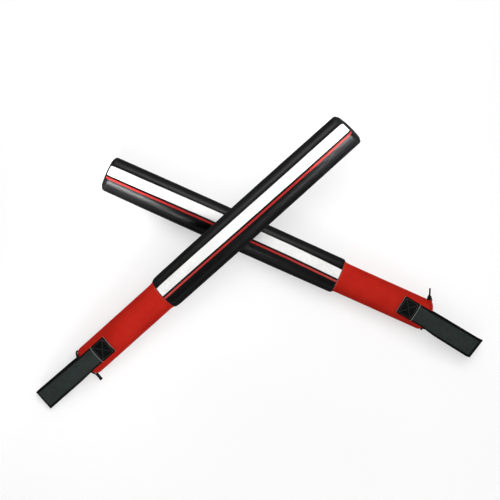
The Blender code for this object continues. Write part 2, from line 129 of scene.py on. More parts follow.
class Stick(NamedTuple):
    """One stick: its place, its own measures, and how its strap is sewn and its cord tied."""

    name: str
    side: int
    grip_length: float
    axes: np.ndarray
    origin: np.ndarray
    strap_turn: float
    strap_yaw: float
    fold_skew: float
    patch_from_butt: float
    cord_pull: float
    rests: bool
    shoulder: tuple
    end_slant: float


def placed_stick(name, turn, **facts):
    """A stick whose butt lies ahead of its strap's hinge."""
    axes = np.array(turn.to_matrix())
    pivot = next(j["pos_m"] for j in frame["joints"] if j["name"] == f"{name}_strap_swing")
    return Stick(name=name, axes=axes, origin=np.array(pivot) + axes @ (HINGE_REACH, 0, 0), **facts)


STICKS = (
    placed_stick(
        "lower",
        Euler((0, 0, math.pi)),
        side=-1,
        grip_length=158.5 * MM,
        strap_turn=math.radians(6),
        strap_yaw=math.radians(7.4),
        fold_skew=math.radians(6),
        patch_from_butt=24 * MM,
        cord_pull=1.0,
        rests=True,
        shoulder=(6 * MM, 1.5 * MM),
        end_slant=0.0,
    ),
    placed_stick(
        "upper",
        Euler((0, -UPPER_TILT, CROSSING_ANGLE)),
        side=1,
        grip_length=169.5 * MM,
        strap_turn=math.radians(-3),
        strap_yaw=math.radians(0.8),
        fold_skew=0.0,
        patch_from_butt=28.5 * MM,
        cord_pull=0.0,
        rests=False,
        shoulder=(12 * MM, 2.2 * MM),
        end_slant=0.07,
    ),
)


def in_place(stick, points):
    """Points of a stick's own frame in the shared frame; the barrel's end may be slanted."""
    points = np.array(points, float)
    near_end = np.clip((points[..., 0] - SLANT_START) / SLANT_LENGTH, 0, 1)
    points[..., 0] -= stick.end_slant * near_end * (points[..., 1] + SLANT_OFFSET)
    return points @ stick.axes.T + stick.origin


for stick in STICKS:
    tip = in_place(stick, (STICK_LENGTH, 0, 0))
    print(stick.name, "stick: butt", stick.origin.round(3).tolist(), "tip", tip.round(3).tolist())

# %% [markdown]
# ## Helpers for meshes
#
# Most pieces are grids of points: rows along the stick and columns round or across it. Plain arrays
# are the quickest way to make such grids, and one helper turns any grid into a closed, smooth mesh
# whose faces point outwards. A piece's object stays at the origin and its place is in its mesh. The
# last helper hangs a finished piece on its stick's body and hides the imported parts it stands for.

# %% Mesh helpers
MERGE_DISTANCE = 1e-7
NEARLY_ZERO = 1e-9
SEED_STEPS = (3.7, 1.3, 2.1)
FRACTAL = (1.0, 2.0, 3)


def grid_faces(rows, columns, wrap_rows=False, wrap_columns=False, first=0):
    """Four-sided faces over a grid of points that are numbered row by row."""
    i = np.arange(rows if wrap_rows else rows - 1)[:, None]
    j = np.arange(columns if wrap_columns else columns - 1)[None, :]
    i_next, j_next = (i + 1) % rows, (j + 1) % columns
    corners = (i * columns + j, i * columns + j_next, i_next * columns + j_next, i_next * columns + j)
    return (np.stack(np.broadcast_arrays(*corners), axis=-1).reshape(-1, 4) + first).tolist()


def tube_faces(rows, columns):
    """Faces round a tube of rings, with one more face over each end."""
    last = (rows - 1) * columns
    ends = [list(range(columns)), list(range(last, last + columns))]
    return grid_faces(rows, columns, False, True) + ends


def add_piece(name, stick, points, faces, material, sharp=None, **attributes):
    """A mesh piece made from points in the stick's own frame, with its point attributes."""
    points = np.asarray(points, float)
    mesh = bpy.data.meshes.new(name)
    mesh.from_pydata(in_place(stick, points.reshape(-1, 3)).tolist(), [], faces)
    for label, values in attributes.items():
        layer = mesh.attributes.new(label, "FLOAT", "POINT")
        values = np.broadcast_to(values, points.shape[:-1])
        layer.data.foreach_set("value", values.astype(np.float32).ravel())
    bm = bmesh.new()
    bm.from_mesh(mesh)
    bmesh.ops.remove_doubles(bm, verts=bm.verts, dist=MERGE_DISTANCE)
    bmesh.ops.recalc_face_normals(bm, faces=bm.faces)
    bm.to_mesh(mesh)
    bm.free()
    mesh.materials.append(material)
    mesh.shade_smooth()
    if sharp is not None:
        mesh.set_sharp_from_angle(angle=math.radians(sharp))
    return add_object(name, mesh)


def shell(name, stick, outer, inner, material, **attributes):
    """A closed wall between an outer and an inner grid of rings."""
    points = np.concatenate([outer, inner[::-1]])
    rows, columns = points.shape[:2]
    both = {label: np.concatenate([values, values[::-1]]) for label, values in attributes.items()}
    return add_piece(name, stick, points, grid_faces(rows, columns, True, True), material, **both)


def round_axis(x, radius, turn):
    """Points about the stick's axis; a turn is counted from Z towards Y."""
    points = np.broadcast_arrays(x, radius * np.sin(turn), radius * np.cos(turn))
    return np.stack(points, axis=-1)


def lathe(name, stick, outline, segments, material):
    """A solid turned about X from (x, radius) points; one that starts on the axis also ends on it."""
    x, radius = np.asarray(outline, float).T[..., None]
    points = round_axis(x, radius, np.linspace(0, math.tau, segments, endpoint=False))
    faces = grid_faces(len(x), segments, radius[0, 0] > NEARLY_ZERO, True)
    return add_piece(name, stick, points, faces, material, sharp=40)


def smooth_step(value):
    """0 below 0, 1 above 1, and an even ease between."""
    value = np.clip(value, 0, 1)
    return value * value * (3 - 2 * value)


def bell(value, place, width):
    """1 at a place, fading to 0 over a width on both sides."""
    return np.exp(-(((value - place) / width) ** 2))


def run_length(points):
    """How far along a line each of its points lies."""
    steps = np.linalg.norm(np.diff(points, axis=0), axis=1)
    return np.concatenate([[0], np.cumsum(steps)])


def unevenness(points, wavelength, seed):
    """Soft random heights between about -1 and 1, the same on each run."""
    shift = Vector([seed * step for step in SEED_STEPS])
    flat = np.asarray(points).reshape(-1, 3) / wavelength
    values = [noise.fractal(Vector(p) + shift, *FRACTAL) for p in flat]
    return np.array(values).reshape(np.asarray(points).shape[:-1])


def dress(made, stick, slot, *nodes, fill=None):
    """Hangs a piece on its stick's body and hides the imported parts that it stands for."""
    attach(made, f"{stick.name}_stick")
    if nodes:
        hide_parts(*(f"{stick.name}_{node}" for node in nodes))
    print(made.name, len(made.data.polygons), "faces")


print("mesh helpers ready")

# %% [markdown]
# ## Helpers for finishes
#
# A finish is a small tree of nodes. Nodes are usually joined by hand with the mouse; in a script,
# one helper adds a node and links or sets its inputs, and the others make what most finishes need:
# a noise, a stretched range, a ramp between two tones, a mix and bumps. Those that add nodes and do
# sums serve Geometry Nodes as well.


# %% Material helpers
def from_screen(red, green, blue):
    """A screen colour from 0 to 255 as the linear colour that Blender's sockets take."""
    shares = [c / 255 for c in (red, green, blue)]
    return [s / 12.92 if s <= 0.04045 else ((s + 0.055) / 1.055) ** 2.4 for s in shares] + [1.0]


def set_inputs(tree, node, inputs):
    """Links each input to a socket, or gives it a plain value."""
    for label, value in inputs.items():
        if isinstance(value, bpy.types.NodeSocket):
            tree.links.new(value, node.inputs[label])
        else:
            node.inputs[label].default_value = value


def add_node(tree, kind, inputs=None, **settings):
    """A node with its settings and its inputs."""
    node = tree.nodes.new(kind)
    for label, value in settings.items():
        setattr(node, label, value)
    set_inputs(tree, node, inputs or {})
    return node


def calculate(tree, operation, *values, **settings):
    """A math node over sockets and plain numbers."""
    inputs = dict(enumerate(values))
    return add_node(tree, "ShaderNodeMath", inputs, operation=operation, **settings).outputs[0]


def start_material(name):
    """A new material, its tree, and the place on the object that its textures use."""
    made = bpy.data.materials.new(name)
    made.use_nodes = True
    place = add_node(made.node_tree, "ShaderNodeTexCoord").outputs["Object"]
    return made, made.node_tree, place


def painted(made, **sockets):
    """The material with its shader's sockets linked or set."""
    shader = made.node_tree.nodes["Principled BSDF"]
    inputs = {label.replace("_", " "): value for label, value in sockets.items()}
    set_inputs(made.node_tree, shader, inputs)
    return made


def noise_at(tree, place, **inputs):
    """A noise from 0 to 1."""
    return add_node(tree, "ShaderNodeTexNoise", {"Vector": place, **inputs}).outputs["Fac"]


def attribute(tree, label):
    """A point attribute of the mesh."""
    return add_node(tree, "ShaderNodeAttribute", attribute_name=label).outputs["Fac"]


def stretch(tree, value, to=(0, 1), of=(0, 1)):
    """A socket's range stretched to another one."""
    inputs = {"Value": value, "From Min": of[0], "From Max": of[1], "To Min": to[0], "To Max": to[1]}
    return add_node(tree, "ShaderNodeMapRange", inputs).outputs["Result"]


def two_tone(tree, factor, dark, light, low=0.35, high=0.65):
    """A colour ramp between two tones, fed by a factor socket."""
    ramp = add_node(tree, "ShaderNodeValToRGB", {"Fac": factor})
    for element, place, colour in zip(ramp.color_ramp.elements, (low, high), (dark, light)):
        element.position = place
        element.color = colour
    return ramp.outputs["Color"]


def mixed(tree, factor, first, second):
    """A mix of two colours."""
    inputs = {"Factor": factor, "A": first, "B": second}
    return add_node(tree, "ShaderNodeMix", inputs, data_type="RGBA").outputs["Result"]


def bumps(tree, height, strength, distance):
    """A shading normal from a height socket."""
    inputs = {"Height": height, "Strength": strength, "Distance": distance}
    return add_node(tree, "ShaderNodeBump", inputs).outputs["Normal"]


print("material helpers ready")

# %% [markdown]
# ## Leather-like finishes
#
# The covers are coated fabric: a plastic skin with a fine pressed grain. A picture of leather could
# be wrapped round them, but a procedural finish stays sharp at any distance and needs no file.
# Cells of a Voronoi texture make the grain, a slow noise makes the colour and the gloss vary, and a
# painted point attribute called wear says where edges have been rubbed. At a glancing angle the
# skin turns matt, so that the barrel's sides don't mirror the pale floor. One function serves every
# colour, because only its numbers differ.

# %% Leather finishes
PORES_PER_CELL = 2.6
PORE_SHARE = 0.35
GRAIN_HEIGHT = 0.12 * MM


def leather(name, dark, light, worn, grain, depth, gloss, shine):
    """Coated fabric: two tones, rubbed edges, a pressed grain and a gloss from low to high."""
    made, tree, place = start_material(name)
    mottle = noise_at(tree, place, Scale=28, Detail=5, Roughness=0.6)
    scuffs = noise_at(tree, place, Scale=260, Detail=4, Roughness=0.7)
    pores = noise_at(tree, place, Scale=PORES_PER_CELL / grain, Detail=2)
    inputs = {"Vector": place, "Scale": 1 / grain}
    cells = add_node(tree, "ShaderNodeTexVoronoi", inputs, feature="DISTANCE_TO_EDGE")
    patchy = stretch(tree, scuffs, to=(-0.6, 1.4))
    rub = calculate(tree, "MULTIPLY", attribute(tree, "wear"), patchy, use_clamp=True)
    facing = add_node(tree, "ShaderNodeLayerWeight", {"Blend": 0.5}).outputs["Facing"]
    glance = stretch(tree, facing, of=(0.25, 0.5), to=(0, 0.68))
    crease = stretch(tree, cells.outputs["Distance"], of=(0, 0.12))
    height = calculate(tree, "MULTIPLY_ADD", pores, PORE_SHARE, crease)
    return painted(
        made,
        Base_Color=mixed(tree, rub, two_tone(tree, mottle, dark, light), worn),
        Roughness=calculate(tree, "ADD", stretch(tree, mottle, to=gloss), glance, use_clamp=True),
        Normal=bumps(tree, height, depth, GRAIN_HEIGHT),
        Specular_IOR_Level=shine,
    )


LEATHERS = [
    leather(name, *(from_screen(*tone) for tone in tones), grain * MM, depth, gloss, shine)
    for name, tones, grain, depth, gloss, shine in (
        ("black_leather", ((4, 4, 5), (9, 9, 10), (52, 52, 51)), 1.1, 0.22, (0.25, 0.32), 0.1),
        ("red_leather", ((172, 28, 17), (184, 34, 22), (206, 78, 62)), 1.0, 0.3, (0.6, 0.72), 0.06),
        ("white_band", ((233, 233, 232), (246, 246, 245), (206, 205, 201)), 0.9, 0.15, (0.42, 0.52), 0.2),
        ("red_band", ((162, 30, 29), (180, 38, 36), (190, 90, 84)), 0.9, 0.15, (0.3, 0.4), 0.15),
        ("patch_leather", ((4, 6, 6), (10, 12, 12), (70, 70, 68)), 0.8, 0.18, (0.42, 0.52), 0.03),
    )
]
BLACK_LEATHER, RED_LEATHER, WHITE_BAND, RED_BAND, PATCH_LEATHER = LEATHERS
print("leather finishes:", [made.name for made in LEATHERS])

# %% [markdown]
# ## Woven and spun finishes
#
# The webbing, the thread and the cord are spun yarn. Their pattern has to follow the piece and not
# the room, so the meshes carry two point attributes, along and across in metres (or around, in
# turns), and sine waves of these draw the single yarns. A third attribute paints shade on the
# webbing's rounded selvedges and round its fold. The coarse ribs and plaits are real geometry, made
# further down.

# %% Textile finishes
# Near-black tone of the painted shade on the webbing's selvedges and round its fold.
PAINTED_SHADE_TONE = (3, 4, 4)
YARN_HEIGHT = 0.1 * MM


def wave(tree, label, length):
    """A sine wave from 0 to 1 along a point attribute."""
    phase = calculate(tree, "MULTIPLY", attribute(tree, label), math.tau / length)
    return stretch(tree, calculate(tree, "SINE", phase), of=(-1, 1))


def textile(name, dark, light, yarns, roughness, sheen):
    """Spun or woven yarn: waves along two point attributes, with a little dust in the tone."""
    made, tree, place = start_material(name)
    cross = calculate(tree, "MULTIPLY", *(wave(tree, label, length) for label, length in yarns))
    dust = noise_at(tree, place, Scale=120, Detail=5, Roughness=0.7)
    tone = calculate(tree, "MULTIPLY_ADD", cross, 0.5, stretch(tree, dust, to=(-0.1, 0.7)))
    yarn = two_tone(tree, tone, from_screen(*dark), from_screen(*light), 0.1, 0.9)
    return painted(
        made,
        # Painted shade: a point attribute mixes the near-black tone onto the webbing's selvedges and
        # fold.
        Base_Color=mixed(tree, attribute(tree, "painted_edge_shade"), yarn, from_screen(*PAINTED_SHADE_TONE)),
        Roughness=stretch(tree, dust, to=roughness),
        Normal=bumps(tree, cross, 0.5, YARN_HEIGHT),
        Sheen_Weight=sheen,
        Sheen_Roughness=0.5,
        Specular_IOR_Level=0.06,
    )


def speckled(name, dark, light, roughness, grain, **sockets):
    """A finish in which one noise varies the tone and the gloss."""
    made, tree, place = start_material(name)
    speckle = noise_at(tree, place, **grain)
    tone = two_tone(tree, speckle, from_screen(*dark), from_screen(*light))
    return painted(made, Base_Color=tone, Roughness=stretch(tree, speckle, to=roughness), **sockets)


WEAVE = (("across", 0.5 * MM), ("along", 0.65 * MM))
PLAIT = (("around", 0.125), ("along", 0.8 * MM))
WEBBING = textile("charcoal_webbing", (33, 38, 37), (52, 59, 57), WEAVE, (0.75, 0.95), 0.03)
CORD = textile("black_cord", (6, 6, 7), (18, 18, 18), PLAIT, (0.6, 0.8), 0.05)
THREADS = [
    speckled(f"{colour}_thread", dark, light, gloss, {"Scale": 1800, "Detail": 2}, Sheen_Weight=0.1)
    for colour, dark, light, gloss in (
        ("black", (14, 15, 15), (40, 41, 41), (0.4, 0.6)),
        ("grey", (30, 32, 32), (54, 56, 56), (0.45, 0.65)),
        ("pale", (88, 90, 88), (118, 120, 117), (0.5, 0.7)),
        ("red", (150, 20, 14), (190, 45, 34), (0.45, 0.65)),
    )
]
BLACK_THREAD, GREY_THREAD, PALE_THREAD, RED_THREAD = THREADS
print("textile finishes:", [made.name for made in (WEBBING, CORD, *THREADS)])

# %% [markdown]
# ## Outlines of the soft covers
#
# Seen from the side, a stick is two turned outlines: the barrel with its drawn-in shoulder, gentle
# crown and rounded rim, and the thinner grip with its rounded butt and its small flare. Cylinders
# with bevels would come close, but an outline follows the photograph and serves again for the foam
# inside. Each one is a list of places along the axis with a radius, and an outward normal tells
# which way a cover swells or a strip lies.

# %% Outlines
PAD_RADIUS = 30 * MM
PAD_CROWN = 0.7 * MM
RIM_RADIUS = 7 * MM
TIP_DOME = 2 * MM
RIM_START = STICK_LENGTH - TIP_DOME - RIM_RADIUS
CAP_SEAM_TURN = math.radians(74)
REST_FLAT = 29.5 * MM
GRIP_RADIUS = 25.5 * MM
BUTT_RADIUS = 10 * MM
FLARE_LENGTH = 10 * MM
FLARE_HEIGHT = 1.1 * MM
COVER_THICKNESS = 1.2 * MM
SEAM_GAP = 0.15 * MM
TURNS = np.linspace(0, math.tau, 144, endpoint=False)


def pad_radius(x, stick):
    """Outer radius of the barrel."""
    from_grip = np.asarray(x) - stick.grip_length
    share = from_grip / (STICK_LENGTH - stick.grip_length)
    length, depth = stick.shoulder
    inward = np.clip(1 - from_grip / length, 0, 1)
    drop = depth * (1 - np.sqrt(1 - inward**2))
    return PAD_RADIUS - PAD_CROWN * (2 * share - 1) ** 2 - drop


def with_normals(x, radius):
    """An outline as columns: x, radius, and the outward normal along each of the two."""
    dx, dr = np.gradient(x), np.gradient(radius)
    length = np.hypot(dx, dr)
    return np.stack([x, radius, -dr / length, dx / length], axis=1)


def pad_outline(stick):
    """The barrel's outline from its edge beside the grip to the end seam on the rim."""
    start, shoulder_end = stick.grip_length + SEAM_GAP, stick.grip_length + stick.shoulder[0]
    rise = shoulder_end - (shoulder_end - start) * np.cos(np.linspace(0, math.pi / 2, 22))
    crown = np.linspace(shoulder_end, RIM_START, 150)[1:]
    turns = np.linspace(0, CAP_SEAM_TURN, 22)[1:]
    side = np.concatenate([rise, crown])
    centre = pad_radius(RIM_START, stick) - RIM_RADIUS
    x = np.concatenate([side, RIM_START + RIM_RADIUS * np.sin(turns)])
    radius = np.concatenate([pad_radius(side, stick), centre + RIM_RADIUS * np.cos(turns)])
    return with_normals(x, radius)


def grip_outline(grip_length):
    """The grip's outline from the hem on its end face, round the butt, to the barrel."""
    end = grip_length - SEAM_GAP
    turns = np.linspace(0, math.pi / 2, 30)
    straight = np.linspace(BUTT_RADIUS, end - FLARE_LENGTH, 60)[1:]
    share = np.linspace(0, 1, 26)[1:]
    x = np.concatenate([BUTT_RADIUS * (1 - np.cos(turns)), straight, end - FLARE_LENGTH * (1 - share)])
    butt = GRIP_RADIUS - BUTT_RADIUS + BUTT_RADIUS * np.sin(turns)
    flare = GRIP_RADIUS + FLARE_HEIGHT * share**2
    radius = np.concatenate([butt, np.full(straight.size, GRIP_RADIUS), flare])
    return with_normals(x, radius)


def cover_grid(outline, heights, turns=TURNS):
    """Rings over an outline, raised along its normals by heights."""
    x, radius, normal_x, normal_r = outline.T[..., None]
    return round_axis(x + heights * normal_x, radius + heights * normal_r, turns)


PAD = {stick.name: pad_outline(stick) for stick in STICKS}
GRIP = {stick.name: grip_outline(stick.grip_length) for stick in STICKS}
print("barrel outline", len(PAD["upper"]), "points, grip outline", len(GRIP["upper"]), "points")

# %% [markdown]
# ## Swelling the covers like stuffed cloth
#
# A cover that is pulled over foam is tight between its seams and pinched at them. A formula could
# fake that, but a short cloth simulation gives it freely: a slightly smaller tube is held at its
# seams and blown up for a few steps. Only the change of height is kept, capped at a millimetre, so
# the measured outline stays in charge. Both sticks are sewn alike, so the upper one's barrel and
# grip are blown up and serve for the lower one too.

# %% Cloth simulation
SIM_ROWS = 70
SIM_COLUMNS = 72
SIM_FRAMES = 16
SIM_INSET = 0.5 * MM
SIM_CAP = 1.0 * MM
SEAM_TURN = math.radians(152)
PATCH_HOLD = (24 * MM, 55 * MM)
PATCH_HOLD_TURN = 0.5
CLOTH = {
    "quality": 5,
    "mass": 0.25,
    "tension_stiffness": 25,
    "compression_stiffness": 25,
    "bending_stiffness": 2,
    "vertex_group_mass": "sewn",
    "use_pressure": True,
    "uniform_pressure_force": 4,
}


def simulated(name, points, held):
    """Where the points of a tube of cloth go in a few steps under pressure."""
    mesh = bpy.data.meshes.new(name)
    mesh.from_pydata(points.reshape(-1, 3).tolist(), [], grid_faces(*held.shape, False, True))
    tube = add_object(name, mesh)
    tube.vertex_groups.new(name="sewn").add(np.flatnonzero(held).tolist(), 1.0, "REPLACE")
    cloth = tube.modifiers.new("Cloth", "CLOTH")
    for label, value in CLOTH.items():
        setattr(cloth.settings, label, value)
    cloth.settings.effector_weights.gravity = 0
    cloth.point_cache.frame_start = 1
    cloth.point_cache.frame_end = SIM_FRAMES
    scene = bpy.context.scene
    for number in range(1, SIM_FRAMES + 1):
        scene.frame_set(number)
    result = tube.evaluated_get(bpy.context.evaluated_depsgraph_get())
    moved = np.array([v.co for v in result.data.vertices]).reshape(points.shape)
    scene.frame_set(1)
    bpy.data.objects.remove(tube)
    return moved


def blown_up(name, outline, held_beside=None):
    """Heights that a tube of cloth gains over its outline when it is blown up between its seams."""
    step = max(1, len(outline) // SIM_ROWS)
    rows = np.unique(np.append(np.arange(0, len(outline), step), len(outline) - 1))
    line = outline[rows]
    x, radius, normal_x, normal_r = line.T[..., None]
    turns = np.linspace(0, math.tau, SIM_COLUMNS, endpoint=False)
    held = np.zeros((len(line), SIM_COLUMNS), bool)
    held[[0, -1]] = True
    held[:, np.argmin(np.abs(turns - SEAM_TURN))] = True
    if held_beside is not None:
        held |= held_beside(x, (turns + math.pi) % math.tau - math.pi)
    moved = simulated(name, cover_grid(line, np.full(held.shape, -SIM_INSET), turns), held)
    outward = np.hypot(moved[..., 1], moved[..., 2]) - radius
    gained = (moved[..., 0] - x) * normal_x + outward * normal_r
    gained = np.clip(gained, -SIM_CAP, SIM_CAP)
    places = np.arange(len(outline))
    tall = np.stack([np.interp(places, rows, column) for column in gained.T], axis=1)
    return np.stack([np.interp(TURNS, turns, row, period=math.tau) for row in tall])


def beside_patch(x, turn):
    """Where the grip's cover is held down by the two sewn patches."""
    near = (x > PATCH_HOLD[0]) & (x < PATCH_HOLD[1])
    return near & ((np.abs(turn) < PATCH_HOLD_TURN) | (np.abs(turn) > math.pi - PATCH_HOLD_TURN))


PAD_SWELL = blown_up("barrel_swell", PAD["upper"])
GRIP_SWELL = blown_up("grip_swell", GRIP["upper"], beside_patch)
for label, heights in (("barrel", PAD_SWELL), ("grip", GRIP_SWELL)):
    print(label, "swells from", round(heights.min() / MM, 2), "to", round(heights.max() / MM, 2), "mm")

# %% [markdown]
# ## The barrel's sleeve
#
# The black sleeve is one sheet rolled round the foam and closed by a lapped seam that faces the
# floor, where the photograph can't show it. Four things are added to the swollen outline: the
# seam's lap and groove, a slight unevenness of the foam, a pinch at both edges, and the flat on
# which the lower barrel rests. They could be sculpted, but as heights over the outline they simply
# add up. The inner wall is the same grid, moved in.

# %% Barrel sleeves
SEAM_GROOVE = 0.45 * MM
SEAM_LAP = 0.35 * MM
LAP_PLACE = 3 * MM
LAP_FADE = 2.5 * MM
GROOVE_WIDTH = 0.8 * MM
PAD_UNEVENNESS = 0.1 * MM
PAD_WAVE = 26 * MM
TIP_PINCH = 0.5 * MM
GRIP_PINCH = 0.25 * MM
PINCH_ROWS = 2.0


def seam_heights(outline, turns):
    """A lapped seam: a groove with a raised edge beside it."""
    arc = ((turns - SEAM_TURN + math.pi) % math.tau - math.pi) * outline[:, [1]]
    lap = SEAM_LAP * np.exp(-np.abs(arc - LAP_PLACE) / LAP_FADE) * (arc > 0)
    return lap - SEAM_GROOVE * bell(arc, 0, GROOVE_WIDTH)


PAD_HEIGHTS = {}
for number, stick in enumerate(STICKS):
    pad = PAD[stick.name]
    smooth = cover_grid(pad, np.zeros_like(PAD_SWELL))
    heights = PAD_SWELL + seam_heights(pad, TURNS)
    heights += PAD_UNEVENNESS * unevenness(smooth, PAD_WAVE, number)
    row = np.arange(len(pad))[:, None]
    heights -= TIP_PINCH * np.exp(-row[::-1] / PINCH_ROWS) + GRIP_PINCH * np.exp(-row / PINCH_ROWS)
    PAD_HEIGHTS[stick.name] = heights
    outer = cover_grid(pad, heights)
    if stick.rests:
        outer[..., 2] = np.maximum(outer[..., 2], -REST_FLAT)
    inner = cover_grid(pad, heights - COVER_THICKNESS)
    inner[..., 2] = np.maximum(inner[..., 2], COVER_THICKNESS - REST_FLAT)
    wear = 0.4 * bell(pad[:, [0]], RIM_START + 3 * MM, 5 * MM)
    sleeve = shell(f"{stick.name}_barrel_sleeve", stick, outer, inner, BLACK_LEATHER, wear=wear)
    dress(sleeve, stick, "black_leather", "pad_cover", fill=0.95)

# %% [markdown]
# ## The stripes
#
# A wide white and a thin red strip run from the grip over the rim of the tip. Painting them into
# the sleeve's material would be quick, but on the real stick they are strips with an edge of their
# own, so they are thin bands whose underside follows the finished sleeve. The pair is mirrored: red
# lies on the outer side of each. Strips that are laid by hand drift a few degrees round the barrel,
# so a short table gives that drift.

# %% Stripes
WHITE_WIDTH = 17 * MM
RED_WIDTH = 3.4 * MM
STRIPE_SPACING = 3.2 * MM
STRIPE_THICKNESS = 0.4 * MM
STRIPE_SINK = 0.15 * MM
STRIPE_EDGE = 0.5 * MM
STRIPE_END = 0.8 * MM
RIM_ROW = 0.35 * MM
STRIPE_TURN = math.radians(10.3)
STRIPE_END_TURN = {"lower": math.radians(54), "upper": math.radians(71)}
STRIPE_START = 0.7 * MM
STRIPE_COLUMNS = 25
GRIP_WEAR_REACH = 160 * MM
TIP_WEAR_REACH = 4 * MM
STRIPE_DRIFT = {
    "lower": ((158, 170, 200, 250, 390, 470, 500, 560), (-6, -5.2, -3.2, -1, -0.2, -1.5, -2.5, -3)),
    "upper": ((170, 200, 250, 320, 400, 450, 560), (1.5, 1.5, 0.8, -0.5, -1.5, -2.1, -2.2)),
}
RED_TURN = STRIPE_TURN - ((WHITE_WIDTH + RED_WIDTH) / 2 + STRIPE_SPACING) / PAD_RADIUS


def band(name, stick, width, middle, material):
    """A thin strip with rounded edges that lies along the sleeve and over its rim."""
    pad = PAD[stick.name]
    end_x = RIM_START + RIM_RADIUS * math.sin(STRIPE_END_TURN[stick.name])
    rows = np.flatnonzero((pad[:, 0] >= stick.grip_length + STRIPE_START) & (pad[:, 0] <= end_x))
    line = pad[rows]
    x = line[:, 0]
    drift = stick.side * np.radians(np.interp(x / MM, *STRIPE_DRIFT[stick.name]))[:, None]
    top = np.linspace(-1, 1, STRIPE_COLUMNS) * width / 2
    near_edge = np.clip((np.abs(top) - width / 2) / STRIPE_EDGE + 1, 0, 1)
    top_height = STRIPE_THICKNESS * np.sqrt(1 - near_edge**2)
    across = np.concatenate([top, top[::-1]])
    lift = np.concatenate([top_height, np.full(top.size, -STRIPE_SINK)])
    turns = middle + drift + across / PAD_RADIUS
    sleeve = zip(turns, PAD_HEIGHTS[stick.name][rows])
    base = np.stack([np.interp(turn, TURNS, row, period=math.tau) for turn, row in sleeve])
    from_end = np.minimum(x - x[0], np.arange(len(x))[::-1] * RIM_ROW)
    ends = np.sqrt(1 - np.clip(1 - from_end / STRIPE_END, 0, 1) ** 2)[:, None]
    points = cover_grid(line, base + np.where(lift < 0, lift, lift * ends), turns)
    near_grip = 1 - smooth_step((x - stick.grip_length) / GRIP_WEAR_REACH)
    near_tip = smooth_step((x - RIM_START) / TIP_WEAR_REACH)
    wear = (0.75 * near_grip + 0.3 * near_tip)[:, None]
    return add_piece(name, stick, points, tube_faces(*turns.shape), material, sharp=50, wear=wear)


for stick in STICKS:
    for colour, width, turn, material in (
        ("white", WHITE_WIDTH, STRIPE_TURN, WHITE_BAND),
        ("red", RED_WIDTH, RED_TURN, RED_BAND),
    ):
        made = band(f"{stick.name}_{colour}_band", stick, width, stick.side * turn, material)
        dress(made, stick, f"{colour}_strip", f"{colour}_stripe")

# %% [markdown]
# ## The end of the barrel
#
# A round piece closes the tip. It is domed by the foam behind it and puckers a little where the
# stitches of its seam pull. The puckers could be sculpted, but a small wave round the edge that
# dies away towards the middle is as even as a machine's stitches.

# %% Barrel ends
CAP_TURN = CAP_SEAM_TURN + math.radians(2)
PUCKERS = 48
PUCKER_HEIGHT = 0.16 * MM
PUCKER_REACH = 3 * MM
END_PINCH = 0.55 * MM
END_PINCH_REACH = 0.5 * MM
END_WEAR_REACH = 4 * MM
FLAT_MIDDLE = 6 * MM


def cap_outline(stick):
    """The end piece from its seam on the rim over the dome to the axis."""
    turns = np.linspace(CAP_TURN, math.pi / 2, 10)
    centre = pad_radius(RIM_START, stick) - RIM_RADIUS
    shares = np.linspace(1, 0, 24)[1:]
    dome = RIM_START + RIM_RADIUS + TIP_DOME * (1 - shares**2)
    x = np.concatenate([RIM_START + RIM_RADIUS * np.sin(turns), dome])
    radius = np.concatenate([centre + RIM_RADIUS * np.cos(turns), centre * shares])
    return with_normals(x, radius)


CAP = {stick.name: cap_outline(stick) for stick in STICKS}
for stick in STICKS:
    line = CAP[stick.name]
    from_edge = line[0, 1] - line[:, [1]]
    puckers = PUCKER_HEIGHT * np.exp(-from_edge / PUCKER_REACH) * np.cos(PUCKERS * TURNS)
    heights = puckers - END_PINCH * np.exp(-from_edge / END_PINCH_REACH)
    heights *= np.clip(line[:, [1]] / FLAT_MIDDLE, 0, 1)
    outer = cover_grid(line, heights)
    inner = cover_grid(line, np.full_like(heights, -COVER_THICKNESS))
    for grid in (outer, inner):
        grid[-1] = grid[-1].mean(axis=0)
    points = np.concatenate([outer[::-1], inner])
    rubbed = np.exp(-from_edge[::-1] / END_WEAR_REACH)
    wear = 0.45 * np.concatenate([rubbed, np.zeros_like(from_edge)])
    faces = grid_faces(len(points), len(TURNS), False, True)
    cap = add_piece(f"{stick.name}_barrel_end", stick, points, faces, BLACK_LEATHER, wear=wear)
    dress(cap, stick, "black_leather", "tip_cap", fill=0.9)

# %% [markdown]
# ## The grip's cover
#
# The red sleeve is thinner and softer. At the barrel it ends in a small rolled hem that catches the
# light, and at the butt it is gathered over the edge by the cord, so pleats run in towards the hole
# in the end face. The pleats are waves of uneven size round the axis, strong at the hem and gone a
# thumb's width up the grip.

# %% Grip covers
PLEATS = 19
PLEAT_HEIGHT = 0.55 * MM
PLEAT_REACH = 10 * MM
HEM_BEAD = 0.55 * MM
HEM_PLACE = 1.0 * MM
HEM_WIDTH = 0.7 * MM
HEM_GROOVE = 0.3 * MM
HEM_GROOVE_PLACE = 2.6 * MM
HEM_GROOVE_WIDTH = 0.8 * MM
GRIP_SEAM_SHARE = 0.7
GRIP_UNEVENNESS = 0.12 * MM
GRIP_WAVE = 18 * MM


def gathered(outline, turns, seed):
    """Heights of the pleats: a wave whose size and spacing vary round the butt."""
    sway = 0.55 * np.sin(2 * turns + seed) + 0.35 * np.sin(5 * turns + 2 * seed)
    size = 0.7 + 0.3 * np.sin(3 * turns + 1.7 * seed)
    fade = bell(run_length(outline[:, :2]), 0, PLEAT_REACH)[:, None]
    return PLEAT_HEIGHT * fade * size * np.cos(PLEATS * turns + sway)


